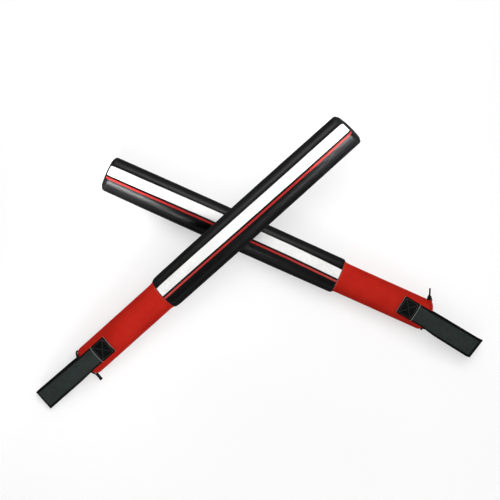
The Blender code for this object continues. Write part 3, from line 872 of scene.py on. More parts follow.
GRIP_HEIGHTS = {}
for number, stick in enumerate(STICKS):
    grip = GRIP[stick.name]
    heights = GRIP_SWELL + GRIP_SEAM_SHARE * seam_heights(grip, TURNS)
    GRIP_HEIGHTS[stick.name] = heights
    smooth = cover_grid(grip, np.zeros_like(heights))
    heights = heights + gathered(grip, TURNS, number + 0.6)
    heights += GRIP_UNEVENNESS * unevenness(smooth, GRIP_WAVE, number + 5)
    from_hem = grip[-1, 0] - grip[:, [0]]
    heights += HEM_BEAD * bell(from_hem, HEM_PLACE, HEM_WIDTH)
    heights -= HEM_GROOVE * bell(from_hem, HEM_GROOVE_PLACE, HEM_GROOVE_WIDTH)
    outer = cover_grid(grip, heights)
    inner = cover_grid(grip, np.minimum(heights, 0) - COVER_THICKNESS)
    inner[0, :, 0] = COVER_THICKNESS
    wear = 0.9 * bell(from_hem, HEM_PLACE, 0.8 * MM) + 0.25 * np.exp(-grip[:, [0]] / (6 * MM))
    cover = shell(f"{stick.name}_grip_cover", stick, outer, inner, RED_LEATHER, wear=wear)
    dress(cover, stick, "red_leather", "grip_sleeve", fill=0.9)

# %% [markdown]
# ## The butt's facing
#
# Behind the gathered hem lies a black disc that closes the core. It is cut from the barrel's
# leather and bulges slightly, because the foam presses it against the hem. A flattened ball would
# do, but an outline turned about the axis also gives it a straight edge and a flat back.

# %% Butt facings
FACING_RADIUS = 15.345 * MM
FACING_FRONT = 1.5 * MM
FACING_BULGE = 0.9 * MM
FACING_BACK = 2.7 * MM
for stick in STICKS:
    shares = np.linspace(0, 1, 16)
    front = FACING_FRONT - FACING_BULGE * (1 - shares**2) ** 2
    outline = [*zip(front, shares * FACING_RADIUS), (FACING_BACK, FACING_RADIUS), (FACING_BACK, 0)]
    facing = lathe(f"{stick.name}_butt_facing", stick, outline, 64, BLACK_LEATHER)
    dress(facing, stick, "black_leather", "butt_disc")

# %% [markdown]
# ## The wrist strap
#
# The strap is one length of webbing. Its two ends are sewn above and below the grip, and it folds
# back on itself past the butt. A curve with a flat profile could draw it, but a grid of points can
# bend round the sleeve on the grip and run flat behind the butt. It crosses the hinge, so it is one
# mesh. The cross-section is a flat bar with rounded selvedges, and painted shade darkens these
# selvedges and the fold.

# %% Strap shape
WEBBING_WIDTH = 32 * MM
WEBBING_WIDTH_AT_FOLD = 35 * MM
WEBBING_THICKNESS = 1.8 * MM
WEBBING_RADIUS = 26.7 * MM
FOLD_RADIUS = 7 * MM
FOLD_CENTRE = -84.1 * MM
STRAP_LIFT = 8 * MM
LEG_REACH = 32 * MM
PATCH_LENGTH = 27 * MM
PATCH_WIDTH = 33 * MM
PATCH_RADIUS = 28.5 * MM
ROW_STEP = 0.5 * MM
BAR_COLUMNS = 65
# Painted shade on the selvedges: where it starts, as a share of the half width, and how fast it fades in.
EDGE_SHADE_START = 0.8
EDGE_SHADE_FADE = 0.06
# Painted shade round the fold: how far it reaches from the fold's middle, and its fade.
FOLD_SHADE = 9 * MM
FOLD_SHADE_FADE = 4 * MM
SEWN_MARGIN = 2 * MM
LEAST_BEND = 1e-4


def turned(stick, points):
    """The strap and its patches are sewn a few degrees round the grip."""
    c, s = math.cos(stick.strap_turn), math.sin(stick.strap_turn)
    x, y, z = np.moveaxis(np.asarray(points), -1, 0)
    return np.stack([x, c * y + s * z, c * z - s * y], axis=-1)


def strap_share(x):
    """A place's share of the free strap: 0 where it leaves the grip, 1 where its fold begins."""
    return np.clip((STRAP_LIFT - x) / (STRAP_LIFT - FOLD_CENTRE), 0, 1)


def strap_middle(stick, x):
    """Sideways place of the strap's middle line."""
    return math.tan(stick.strap_yaw) * (stick.patch_from_butt + PATCH_LENGTH / 2 - x)


def leg_surface(x, sideways):
    """Points and outward normals of the top leg's middle surface."""
    share = strap_share(x)
    drop = WEBBING_RADIUS - FOLD_RADIUS
    height = FOLD_RADIUS + drop * (1 + np.cos(math.pi * share)) / 2
    slope = math.pi * np.sin(math.pi * share) / 2 * drop / (STRAP_LIFT - FOLD_CENTRE)
    length = np.hypot(1, slope)
    flatness = smooth_step((STRAP_LIFT - x) / (STRAP_LIFT + LEG_REACH))
    bend = (1 - flatness) / WEBBING_RADIUS + LEAST_BEND
    lean, side = np.cos(bend * sideways), np.sin(bend * sideways)
    sink = (1 - lean) / bend
    points = np.stack([x + sink * slope / length, side / bend, height - sink / length], -1)
    normals = np.stack([-slope / length * lean, side, lean / length], -1)
    return points, normals


def bar_section():
    """The webbing's cross-section: shares of the half width, and heights over its middle surface."""
    flat = np.linspace(-1, 1, BAR_COLUMNS)
    corner = np.linspace(math.pi / 2, -math.pi / 2, 7)[1:-1]
    half = WEBBING_THICKNESS / 2
    level, rounded = np.full(BAR_COLUMNS, half), half * np.sin(corner)
    bulge = 1 + np.cos(corner) * half / (WEBBING_WIDTH / 2)
    steps = np.concatenate([flat, bulge, flat[::-1], -bulge])
    return steps, np.concatenate([level, rounded, -level, -rounded])


def strap_rows(stick):
    """Evenly spaced rows: places along the top leg, angles round the fold, and the leg's length."""
    sewn_end = stick.patch_from_butt + PATCH_LENGTH - SEWN_MARGIN
    x = np.linspace(sewn_end, FOLD_CENTRE, 2000)
    path = run_length(leg_surface(x, np.zeros_like(x))[0])
    leg = np.interp(np.arange(0, path[-1], ROW_STEP), path, x)
    angles = np.linspace(0, math.pi, int(math.pi * FOLD_RADIUS / ROW_STEP))
    return leg, angles, path[-1]


def strap_points(stick):
    """Points round the webbing from end to end, places along and across, and its painted shade."""
    steps, heights = bar_section()
    leg, angles, leg_length = strap_rows(stick)
    x = np.concatenate([leg, np.full(angles.size, FOLD_CENTRE), leg[::-1]])[:, None]
    share = strap_share(x)
    width = WEBBING_WIDTH + (WEBBING_WIDTH_AT_FOLD - WEBBING_WIDTH) * share
    half = width / 2 - WEBBING_THICKNESS / 2
    across = steps[None, :] * half
    skew = stick.strap_yaw + stick.fold_skew * share**2
    along_x = x + across * np.sin(skew)
    sideways = strap_middle(stick, x) + across * np.cos(skew)
    points, normals = leg_surface(along_x, sideways)
    fold = slice(leg.size, leg.size + angles.size)
    a = angles[:, None]
    points[fold, :, 0] = along_x[fold] - FOLD_RADIUS * np.sin(a)
    points[fold, :, 1] = sideways[fold]
    points[fold, :, 2] = FOLD_RADIUS * np.cos(a)
    normals[fold] = np.stack(np.broadcast_arrays(-np.sin(a), 0 * across[fold], np.cos(a)), -1)
    under = slice(leg.size + angles.size, None)
    points[under, :, 2] *= -1
    normals[under, :, 2] *= -1
    points = points + normals * heights[None, :, None]
    along = run_length(points[:, BAR_COLUMNS // 2])[:, None]
    length = 2 * leg_length + math.pi * FOLD_RADIUS
    # Painted shade, darker on the rounded selvedges and round the fold.
    edges = smooth_step((np.abs(steps) - EDGE_SHADE_START) / EDGE_SHADE_FADE)
    fold_shade = smooth_step((FOLD_SHADE - np.abs(along - length / 2)) / FOLD_SHADE_FADE)
    return points, along, across, np.maximum(edges, fold_shade), length


for stick in STICKS:
    print(stick.name, "strap length", round(strap_points(stick)[-1] / MM, 1), "mm")

# %% [markdown]
# ## Helpers for Geometry Nodes
#
# Ribs, stitches and plaits are too many and too small to model by hand. A Geometry Nodes tree makes
# them from a plain mesh and a few named sizes. Every tree starts and ends alike, so helpers make an
# empty tree, push points out along their normals, end a tree, and run it once so that a plain mesh
# is left.


# %% Tree helpers
def new_tree(name, floats):
    """An empty tree with named float inputs and a material; its input sockets and its end."""
    tree = bpy.data.node_groups.new(name, "GeometryNodeTree")
    add_socket = tree.interface.new_socket
    add_socket("Geometry", in_out="INPUT", socket_type="NodeSocketGeometry")
    for label, value in floats.items():
        add_socket(label, in_out="INPUT", socket_type="NodeSocketFloat").default_value = value
    add_socket("Material", in_out="INPUT", socket_type="NodeSocketMaterial")
    add_socket("Geometry", in_out="OUTPUT", socket_type="NodeSocketGeometry")
    return tree, add_node(tree, "NodeGroupInput").outputs, add_node(tree, "NodeGroupOutput")


def named(tree, label):
    """The value of a point attribute."""
    kind = "GeometryNodeInputNamedAttribute"
    return add_node(tree, kind, {"Name": label}, data_type="FLOAT").outputs["Attribute"]


def push_out(tree, geometry, height):
    """Every point moved along its normal by a height."""
    normal = add_node(tree, "GeometryNodeInputNormal").outputs["Normal"]
    inputs = {0: normal, "Scale": height}
    offset = add_node(tree, "ShaderNodeVectorMath", inputs, operation="SCALE").outputs["Vector"]
    inputs = {"Geometry": geometry, "Offset": offset}
    return add_node(tree, "GeometryNodeSetPosition", inputs).outputs["Geometry"]


def end_tree(tree, geometry, source, target):
    """The last nodes: plain mesh, smooth shading and the material."""
    for kind in ("RealizeInstances", "SetShadeSmooth", "SetMaterial"):
        last = add_node(tree, f"GeometryNode{kind}", {"Geometry": geometry})
        geometry = last.outputs["Geometry"]
    set_inputs(tree, last, {"Material": source["Material"]})
    set_inputs(tree, target, {"Geometry": geometry})
    return tree


def even_curve(tree, source, step):
    """The edges of the incoming mesh as a curve in even steps."""
    curve = add_node(tree, "GeometryNodeMeshToCurve", {"Mesh": source["Geometry"]}).outputs["Curve"]
    inputs = {"Curve": curve, "Length": source[step]}
    return add_node(tree, "GeometryNodeResampleCurve", inputs, mode="LENGTH").outputs["Curve"]


def grown(seed_object, tree, material, name, **sizes):
    """Runs a tree on an object with the given sizes, and leaves the result as a plain mesh piece."""
    modifier = seed_object.modifiers.new(tree.name, "NODES")
    modifier.node_group = tree
    values = {label.replace("_", " ").title(): value for label, value in sizes.items()}
    values["Material"] = material
    for item in tree.interface.items_tree:
        if item.in_out == "INPUT" and item.name in values:
            modifier[item.identifier] = values[item.name]
    bpy.context.view_layer.update()
    result = seed_object.evaluated_get(bpy.context.evaluated_depsgraph_get())
    mesh = bpy.data.meshes.new_from_object(result)
    bpy.data.objects.remove(seed_object)
    mesh.name = name
    return add_object(name, mesh)


def grown_along(name, stick, paths, tree, material, **sizes):
    """Runs a tree along paths in the stick's own frame; a path whose ends meet is closed."""
    points, edges = [], []
    for path in paths:
        closed = np.linalg.norm(path[0] - path[-1]) < NEARLY_ZERO
        path = path[:-1] if closed else path
        first, last = len(points), len(points) + len(path) - 1
        points.extend(in_place(stick, path).tolist())
        edges += [(i, i + 1) for i in range(first, last)]
        if closed:
            edges.append((last, first))
    mesh = bpy.data.meshes.new(name + "_path")
    mesh.from_pydata(points, edges, [])
    return grown(add_object(name + "_path", mesh), tree, material, name, **sizes)


print("tree helpers ready")

# %% [markdown]
# ## Ribs of the webbing with Geometry Nodes
#
# Webbing is woven in ribs: each warp yarn rises and dives under the cross yarns, and its neighbour
# does the opposite. A node tree reads the places along and across, works out that height and pushes
# each point out along its normal. The rib's width, depth and the yarns' length are inputs, so
# another weave is only other numbers.

# %% Wrist straps
RIB_WIDTH = 2 * MM
RIB_DEPTH = 0.16 * MM
YARN_LENGTH = 2.6 * MM
BEND_START = -2 * MM
BEND_END = -40 * MM


def webbing_tree():
    """Ribs along the webbing that rise and dive in turn."""
    sizes = {"Rib Width": RIB_WIDTH, "Rib Depth": RIB_DEPTH, "Yarn Length": YARN_LENGTH}
    tree, source, target = new_tree("Webbing ribs", sizes)
    rib = calculate(tree, "DIVIDE", named(tree, "across"), source["Rib Width"])
    sine = calculate(tree, "SINE", calculate(tree, "MULTIPLY", rib, math.pi))
    crest = calculate(tree, "ABSOLUTE", sine)
    number = calculate(tree, "MULTIPLY", calculate(tree, "FLOOR", rib), math.pi)
    along = calculate(tree, "DIVIDE", named(tree, "along"), source["Yarn Length"])
    phase = calculate(tree, "MULTIPLY_ADD", along, math.tau, number)
    dive = calculate(tree, "MULTIPLY_ADD", calculate(tree, "COSINE", phase), 0.5, 0.5)
    share = calculate(tree, "MULTIPLY", crest, dive)
    height = calculate(tree, "MULTIPLY", share, source["Rib Depth"])
    return end_tree(tree, push_out(tree, source["Geometry"], height), source, target)


WEBBING_TREE = webbing_tree()
for stick in STICKS:
    # The third value is the painted shade on the selvedges and the fold.
    points, along, across, painted_edge_shade, length = strap_points(stick)
    marks = {"along": along, "across": across, "painted_edge_shade": painted_edge_shade}
    faces = tube_faces(*points.shape[:2])
    bar = add_piece("bar", stick, turned(stick, points), faces, WEBBING, **marks)
    name = f"{stick.name}_wrist_strap"
    strap = grown(bar, WEBBING_TREE, WEBBING, name, rib_width=RIB_WIDTH, rib_depth=RIB_DEPTH)
    start, end = (in_place(stick, (x, 0, 0)).tolist() for x in (BEND_START, BEND_END))
    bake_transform(strap)
    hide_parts(*(f"{stick.name}_strap_{part}" for part in ("top_leg", "bottom_leg", "loop")))
    print(strap.name, len(strap.data.polygons), "faces, flat length", round(length / MM), "mm")

# %% [markdown]
# ## The patches
#
# A square of thin leather is sewn over each end of the strap. A flat square could be wrapped on
# with a modifier, but a grid that is bent in code can also have rounded corners and dip a little
# along its stitch lines. The paler backing shows on the edges towards the butt and the tip, so
# these are marked as worn.

# %% Patches
PATCH_THICKNESS = 1.2 * MM
PATCH_STEPS = 57
CORNER_POWER = 12
BOX_SHARE = 0.8
STITCH_DIP = 0.22 * MM
PUFF = 0.2 * MM
EDGE_START = 0.93
EDGE_ROUND = 0.07
EDGE_SHARE = 0.35
BOX_WIDTH = 0.035
CROSS_WIDTH = 0.06
RUB_START = 0.9
RUB_PLACE = 0.97
RUB_WIDTH = 0.02


def patch_plan(a, b):
    """Plan of the patch with rounded corners; a runs to the tip and b sideways, from -1 to 1."""
    largest = np.maximum(np.abs(a), np.abs(b))
    norm = (np.abs(a) ** CORNER_POWER + np.abs(b) ** CORNER_POWER) ** (1 / CORNER_POWER)
    shrink = np.where(norm > 0, largest / np.where(norm > 0, norm, 1), 1)
    return a * shrink * PATCH_LENGTH / 2, b * shrink * PATCH_WIDTH / 2


def patch_surface(stick, a, b, height):
    """Points over the strap's end, raised from the patch's underside by a height."""
    lengthwise, sideways = patch_plan(a, b)
    x = stick.patch_from_butt + PATCH_LENGTH / 2 + lengthwise + sideways * math.sin(stick.strap_yaw)
    turn = (strap_middle(stick, x) + sideways * math.cos(stick.strap_yaw)) / PATCH_RADIUS
    return round_axis(x, PATCH_RADIUS - PATCH_THICKNESS / 2 + height, turn)


def patch_height(a, b):
    """Height of the patch's face: rounded at its edge, puffed between its stitch lines."""
    edge = np.maximum(np.abs(a), np.abs(b))
    round_off = np.sqrt(1 - np.clip((edge - EDGE_START) / EDGE_ROUND, 0, 1) ** 2)
    inside = edge < BOX_SHARE
    box = bell(edge, BOX_SHARE, BOX_WIDTH)
    cross = bell(np.abs(a) - np.abs(b), 0, CROSS_WIDTH) * inside
    puff = PUFF * (1 - edge**2) * inside
    thickness = PATCH_THICKNESS * (EDGE_SHARE + (1 - EDGE_SHARE) * round_off)
    return thickness + puff - STITCH_DIP * np.maximum(box, cross)


def on_side(stick, points, side):
    """Points of the top patch, turned as it is sewn, or the same under the grip."""
    flip = -1 if side == "bottom" else 1
    return turned(stick, points * np.array([1, 1, flip]))


steps = np.linspace(-1, 1, PATCH_STEPS)
A, B = np.meshgrid(steps, steps, indexing="ij")
index = np.arange(A.size).reshape(A.shape)
ring = [index[:, 0], index[-1, 1:], index[-2::-1, -1], index[0, -2:0:-1]]
ring = np.concatenate(ring).tolist()
faces = grid_faces(*A.shape) + grid_faces(*A.shape, first=A.size)
faces += [[p, q, q + A.size, p + A.size] for p, q in zip(ring, ring[1:] + ring[:1])]
rubbed = bell(np.maximum(np.abs(A), np.abs(B)), RUB_PLACE, RUB_WIDTH) * (np.abs(A) > RUB_START)
wear = np.concatenate([rubbed, 0 * rubbed])
for stick in STICKS:
    face = patch_surface(stick, A, B, patch_height(A, B))
    base = patch_surface(stick, A, B, 0.0 * A)
    for side in ("top", "bottom"):
        points = on_side(stick, np.concatenate([face, base]), side)
        name = f"{stick.name}_{side}_strap_patch"
        patch = add_piece(name, stick, points, faces, PATCH_LEATHER, wear=wear)
        dress(patch, stick, "black_leather", f"{side}_patch")

# %% [markdown]
# ## Stitches with Geometry Nodes
#
# A seam is the same stitch over and over along a path. Placing hundreds of them by hand is
# hopeless, so a tree turns each path into a curve, cuts it into even steps and puts one stitch, a
# tiny stretched ball, on every step along the thread's direction. Their sizes vary a little, with a
# fixed seed. Stitch length, spacing and thread are inputs, so the coarse box on the patch and the
# fine seam of the barrel share one tree.


# %% Stitch tree
def stitch_tree():
    """Stitches of a given length, spacing and thread along the edges of a mesh."""
    sizes = {"Stitch Length": 3 * MM, "Spacing": 4 * MM, "Thread": 0.8 * MM}
    tree, source, target = new_tree("Stitch row", sizes)
    ball = add_node(tree, "GeometryNodeMeshUVSphere", {"Segments": 8, "Rings": 5, "Radius": 0.5})
    inputs = {"X": source["Stitch Length"], "Y": source["Thread"], "Z": source["Thread"]}
    size = add_node(tree, "ShaderNodeCombineXYZ", inputs)
    inputs = {"Geometry": ball.outputs["Mesh"], "Scale": size.outputs["Vector"]}
    stitch = add_node(tree, "GeometryNodeTransform", inputs)
    tangent = add_node(tree, "GeometryNodeInputTangent").outputs["Tangent"]
    aim = add_node(tree, "FunctionNodeAlignRotationToVector", {"Vector": tangent}, axis="X")
    inputs = {"Min": 0.9, "Max": 1.08, "Seed": 7}
    vary = add_node(tree, "FunctionNodeRandomValue", inputs, data_type="FLOAT")
    inputs = {
        "Points": even_curve(tree, source, "Spacing"),
        "Instance": stitch.outputs["Geometry"],
        "Rotation": aim.outputs["Rotation"],
        "Scale": vary.outputs[1],
    }
    place = add_node(tree, "GeometryNodeInstanceOnPoints", inputs)
    return end_tree(tree, place.outputs["Instances"], source, target)


STITCH_TREE = stitch_tree()
print("tree:", STITCH_TREE.name, len(STITCH_TREE.nodes), "nodes")

# %% [markdown]
# ## Where the sticks are sewn
#
# The patch has a box with a cross in it, and a pale edging towards the butt and the tip. The
# barrel's end has a ring of stitches inside its seam. The lengthwise seams of the barrel and the
# grip have one row each beside the lap. A table lists each seam's thread with its stitch length,
# spacing and thickness in millimetres, so a seam is only a name and a path.

# %% Sewing
SEAMS = {
    "patch_stitches": (GREY_THREAD, 2.6, 2.9, 0.75),
    "patch_butt_edging": (PALE_THREAD, 2.4, 1.5, 1.5),
    "patch_tip_edging": (PALE_THREAD, 2.4, 1.5, 0.9),
    "end_stitches": (BLACK_THREAD, 3.0, 3.5, 0.8),
    "barrel_seam_stitches": (BLACK_THREAD, 3.2, 4.0, 0.8),
    "grip_seam_stitches": (RED_THREAD, 3.0, 3.8, 0.75),
}
STITCH_LIFT = 0.05 * MM
CROSS_SHARE = 0.94
EDGING_SPAN = 0.96
EDGING_PLACE = {"butt": -1.03, "tip": 1.02}
EDGING_HEIGHT = 0.45 * MM
END_RING_RADIUS = 20.5 * MM
END_RING_LIFT = 0.08 * MM
BARREL_ROW_TURN = SEAM_TURN + 0.1
BARREL_ROW = (176 * MM, 552 * MM)
GRIP_ROW_TURN = SEAM_TURN + 0.12
GRIP_ROW_START = 60 * MM
GRIP_ROW_GAP = 4 * MM
PATH_POINTS = 60
RING_POINTS = 241


def sew(stick, seam, paths, side=""):
    """One of the seams along paths in the stick's own frame."""
    material, length, spacing, thread = SEAMS[seam]
    sizes = {"stitch_length": length * MM, "spacing": spacing * MM, "thread": thread * MM}
    name = f"{stick.name}_{side}{seam}"
    dress(grown_along(name, stick, paths, STITCH_TREE, material, **sizes), stick, None)


def along_cover(outline, heights, turn, first, last):
    """A path along a cover at one turn round it."""
    rows = np.flatnonzero((outline[:, 0] > first) & (outline[:, 0] < last))
    base = np.array([np.interp(turn, TURNS, row, period=math.tau) for row in heights[rows]])
    return cover_grid(outline[rows], (base + STITCH_LIFT)[:, None], np.array([turn]))[:, 0]


for stick in STICKS:
    t = np.linspace(-1, 1, PATH_POINTS) * BOX_SHARE
    cross = t * CROSS_SHARE
    edge = np.full(PATH_POINTS, BOX_SHARE)
    box = np.concatenate([(t, -edge), (edge, t), (-t, edge), (-edge, -t)], axis=1)
    box = np.append(box, box[:, :1], axis=1)
    for side in ("top", "bottom"):
        paths = []
        for a, b in (box, (cross, cross), (cross, -cross)):
            path = patch_surface(stick, a, b, patch_height(a, b) + STITCH_LIFT)
            paths.append(on_side(stick, path, side))
        sew(stick, "patch_stitches", paths, f"{side}_")
        for end, place in EDGING_PLACE.items():
            a = np.full(PATH_POINTS, place)
            b = np.linspace(-EDGING_SPAN, EDGING_SPAN, PATH_POINTS)
            path = patch_surface(stick, a, b, EDGING_HEIGHT)
            sew(stick, f"patch_{end}_edging", [on_side(stick, path, side)], f"{side}_")

    cap, pad, grip = CAP[stick.name], PAD[stick.name], GRIP[stick.name]
    row = int(np.argmin(np.abs(cap[:, 1] - END_RING_RADIUS)))
    turns = np.linspace(0, math.tau, RING_POINTS)
    ring = cover_grid(cap[[row]], np.full((1, RING_POINTS), END_RING_LIFT), turns)[0]
    ring[-1] = ring[0]
    sew(stick, "end_stitches", [ring])
    path = along_cover(pad, PAD_HEIGHTS[stick.name], BARREL_ROW_TURN, *BARREL_ROW)
    sew(stick, "barrel_seam_stitches", [path])
    span = (GRIP_ROW_START, stick.grip_length - GRIP_ROW_GAP)
    path = along_cover(grip, GRIP_HEIGHTS[stick.name], GRIP_ROW_TURN, *span)
    sew(stick, "grip_seam_stitches", [path])

# %% [markdown]
# ## The draw cord with Geometry Nodes
#
# A thin plaited cord is drawn round the butt. The tree sweeps a circle along the cord's path and
# then raises the plait: where two opposite spirals of waves meet, a strand shows. The diameter is
# an input, so the thicker cord of a knot uses the same tree.

# %% Cord tree
CORD_RADIUS = 1.2 * MM
KNOT_CORD_RADIUS = 1.45 * MM
STRANDS = 4.0


def keep_as(tree, geometry, label, value):
    """A value stored on the points under a name."""
    inputs = {"Geometry": geometry, "Name": label, "Value": value}
    settings = {"data_type": "FLOAT", "domain": "POINT"}
    node = add_node(tree, "GeometryNodeStoreNamedAttribute", inputs, **settings)
    return node.outputs["Geometry"]


def cord_tree():
    """A plaited cord along the edges of a mesh."""
    sizes = {
        "Diameter": 2.4 * MM,
        "Plait Depth": 0.16 * MM,
        "Plait Length": 3.2 * MM,
        "Step": 0.35 * MM,
    }
    tree, source, target = new_tree("Plaited cord", sizes)
    spline = add_node(tree, "GeometryNodeSplineParameter").outputs
    radius = calculate(tree, "MULTIPLY", source["Diameter"], 0.5)
    inputs = {"Resolution": 24, "Radius": radius}
    circle = add_node(tree, "GeometryNodeCurvePrimitiveCircle", inputs).outputs["Curve"]
    inputs = {
        "Curve": keep_as(tree, even_curve(tree, source, "Step"), "along", spline["Length"]),
        "Profile Curve": keep_as(tree, circle, "around", spline["Factor"]),
        "Fill Caps": True,
    }
    sweep = add_node(tree, "GeometryNodeCurveToMesh", inputs).outputs["Mesh"]
    lay = calculate(tree, "DIVIDE", named(tree, "along"), source["Plait Length"])
    strands = calculate(tree, "MULTIPLY", named(tree, "around"), STRANDS)
    spirals = []
    for join in ("ADD", "SUBTRACT"):
        phase = calculate(tree, "MULTIPLY", calculate(tree, join, strands, lay), math.tau)
        spirals.append(calculate(tree, "MULTIPLY_ADD", calculate(tree, "SINE", phase), 0.5, 0.5))
    crest = calculate(tree, "MAXIMUM", *spirals)
    height = calculate(tree, "MULTIPLY", crest, source["Plait Depth"])
    height = calculate(tree, "SUBTRACT", height, source["Plait Depth"])
    return end_tree(tree, push_out(tree, sweep, height), source, target)


CORD_TREE = cord_tree()
print("tree:", CORD_TREE.name, len(CORD_TREE.nodes), "nodes")

# %% [markdown]
# ## How the cord runs
#
# The cord lies in a leather casing round the butt's edge. It comes out beside the knot, and again
# on the far side, where some slack shows. The lower stick's knot is a stack of tight wraps that
# narrows to its tail, and the upper stick's is one small turn with two tails. The paths could be
# drawn as curves by hand, but formulas keep the cord seated on the butt.

# %% Cords
CORD_SEAT = math.radians(46)
CORD_PULL_SPREAD = math.radians(54)
KNOT_TURN = {"lower": math.radians(13), "upper": 0.0}
CASING_GAP = {"lower": 0.22, "upper": 0.95}
SLACK_GAP = 0.95
SECOND_TAIL = np.array((2.0, 0, -0.4)) * MM
TAIL_MIDDLE = 0.3
TAIL_MIDDLE_DROP = (0, 0, 0.3 * MM)
TAIL_END_DROP = (0, 0, 0.8 * MM)
CASING_WALL = 0.15 * MM
CASING_SWELL = 0.65 * MM
CASING_TAPER = 0.12
CASING_PLEAT = 0.12 * MM


class Knot(NamedTuple):
    """A knot: turns of its wraps, their sizes, its tail, its lean in degrees and its shift."""

    wraps: float
    wide: float
    narrow: float
    long: float
    tail: float
    lean: float
    shift: tuple


KNOTS = {
    "lower": Knot(3.2, 3.5 * MM, 0.6 * MM, 7 * MM, 10.5 * MM, 21.5, (-0.5 * MM, 1.3 * MM, 0)),
    "upper": Knot(1.4, 1.5 * MM, 0.9 * MM, 2.4 * MM, 9.5 * MM, -4, (0, 0, 0)),
}
SLACK = {
    "lower": (
        (1.5, 21, 12),
        (-1.5, 20.6, 13),
        (-4.0, 19.6, 13),
        (-4.6, 17.2, 14),
        (-2, 15, 16),
        (1.5, 13, 19),
    ),
    "upper": (
        (2.6, 24.6, -4),
        (1.8, 23.7, 3),
        (1.4, 21.9, 9),
        (0.9, 18.2, 15.8),
        (-0.3, 13.4, 20.2),
        (0.8, 6, 23.4),
    ),
}


def smooth_path(points, count):
    """A smooth line through a few points."""
    points = np.asarray(points, float)
    knots = np.arange(len(points))
    tangents = np.gradient(points, axis=0)
    t = np.linspace(0, len(points) - 1, count)
    i = np.minimum(t.astype(int), len(points) - 2)
    u = (t - knots[i])[:, None]
    before, after = points[i], points[i + 1]
    h1, h2 = 2 * u**3 - 3 * u**2 + 1, u**3 - 2 * u**2 + u
    return h1 * before + h2 * tangents[i] + (1 - h1) * after + (u**3 - u**2) * tangents[i + 1]


def lay_cord(name, stick, *paths, nodes=(), radius=CORD_RADIUS):
    """Plaited cords along paths in the stick's own frame."""
    name = f"{stick.name}_{name}"
    made = grown_along(name, stick, paths, CORD_TREE, CORD, diameter=2 * radius)
    dress(made, stick, "cord", *nodes)


def cord_round(stick, turn):
    """The cord's middle round the butt's edge, at a turn counted from the knot's side."""
    near = np.maximum(0, 1 - np.abs(turn) / CORD_PULL_SPREAD)
    pull = stick.cord_pull * (math.pi / 2 - CORD_SEAT) * np.sin(near * math.pi / 2) ** 2
    seat_turn = CORD_SEAT + pull
    seat = BUTT_RADIUS + CORD_RADIUS
    radius = GRIP_RADIUS - BUTT_RADIUS + seat * np.sin(seat_turn)
    x = BUTT_RADIUS - seat * np.cos(seat_turn)
    side = turn + KNOT_TURN[stick.name]
    return np.stack([x, -radius * np.cos(side), radius * np.sin(side)], -1)


def casing(name, stick, first, last):
    """The leather casing that the cord runs in, between two turns from the knot's side."""
    turns = np.linspace(first, last, 180)
    sides = turns + KNOT_TURN[stick.name]
    outward = np.stack([0 * turns, -np.cos(sides), np.sin(sides)], -1)
    round_it = np.linspace(0, math.tau, 20, endpoint=False)[None, :, None]
    from_end = np.minimum(turns - first, last - turns)
    radius = CORD_RADIUS + CASING_WALL + CASING_SWELL * smooth_step(from_end / CASING_TAPER)
    radius += CASING_PLEAT * np.cos(2 * PLEATS * turns)
    ring = np.cos(round_it) * np.array([1.0, 0, 0]) + np.sin(round_it) * outward[:, None]
    points = cord_round(stick, turns)[:, None] + radius[:, None, None] * ring
    made = add_piece(name, stick, points, tube_faces(*points.shape[:2]), RED_LEATHER, wear=0.0)
    dress(made, stick, "red_leather")


for stick in STICKS:
    knot = KNOTS[stick.name]
    base = cord_round(stick, np.array([0.0]))[0]
    beside = knot.wide / -base[1]
    turns = np.linspace(beside, math.tau - beside, 400)
    turns = np.where(turns < math.pi, turns, turns - math.tau)
    lay_cord("butt_cord", stick, cord_round(stick, turns), nodes=["draw_cord"])

    share = np.linspace(0, 1, 300)
    spin = share * knot.wraps * math.tau
    reach = knot.narrow + (knot.wide - knot.narrow) * (1 - share**1.5) ** 0.8
    out = share * knot.long
    lean = math.tan(math.radians(knot.lean))
    wraps = np.stack([reach * np.cos(spin) + out * lean, -out, reach * np.sin(spin)], -1)
    wraps = wraps + base + knot.shift
    away = np.array([lean, -1, 0]) * knot.tail
    first = wraps[-1]
    middle, end = first + TAIL_MIDDLE * away - TAIL_MIDDLE_DROP, first + away - TAIL_END_DROP
    tail = smooth_path([first, middle, end], 60)
    paths = [np.concatenate([wraps[:-1], tail])]
    if stick.name == "upper":
        paths.append(tail + SECOND_TAIL)
    lay_cord("butt_knot", stick, *paths, nodes=["cord_knot"], radius=KNOT_CORD_RADIUS)

    lay_cord("cord_slack", stick, smooth_path(np.array(SLACK[stick.name]) * MM, 160))
    for half, way in (("top", 1), ("bottom", -1)):
        ends = sorted((way * CASING_GAP[stick.name], way * (math.pi - SLACK_GAP)))
        casing(f"{stick.name}_{half}_cord_casing", stick, *ends)

# %% [markdown]
# ## What lies inside
#
# Foam fills the covers, and a plastic tube with a plug at each end stiffens the stick. None of it
# shows, but a user may take a cover off, so the foam is turned from the covers' own outlines, moved
# in, and its finish has open pores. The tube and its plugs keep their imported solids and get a
# moulded-plastic finish.


# %% Inside pieces
def porous(name, dark, light):
    """Open-cell foam: pits of a Voronoi texture in a soft grey."""
    made, tree, place = start_material(name)
    inputs = {"Vector": place, "Scale": 1100}
    cells = add_node(tree, "ShaderNodeTexVoronoi", inputs).outputs["Distance"]
    return painted(
        made,
        Base_Color=two_tone(tree, cells, from_screen(*light), from_screen(*dark), 0.2, 0.8),
        Roughness=stretch(tree, cells, to=(0.85, 1.0)),
        Normal=bumps(tree, cells, 0.6, 0.3 * MM),
    )


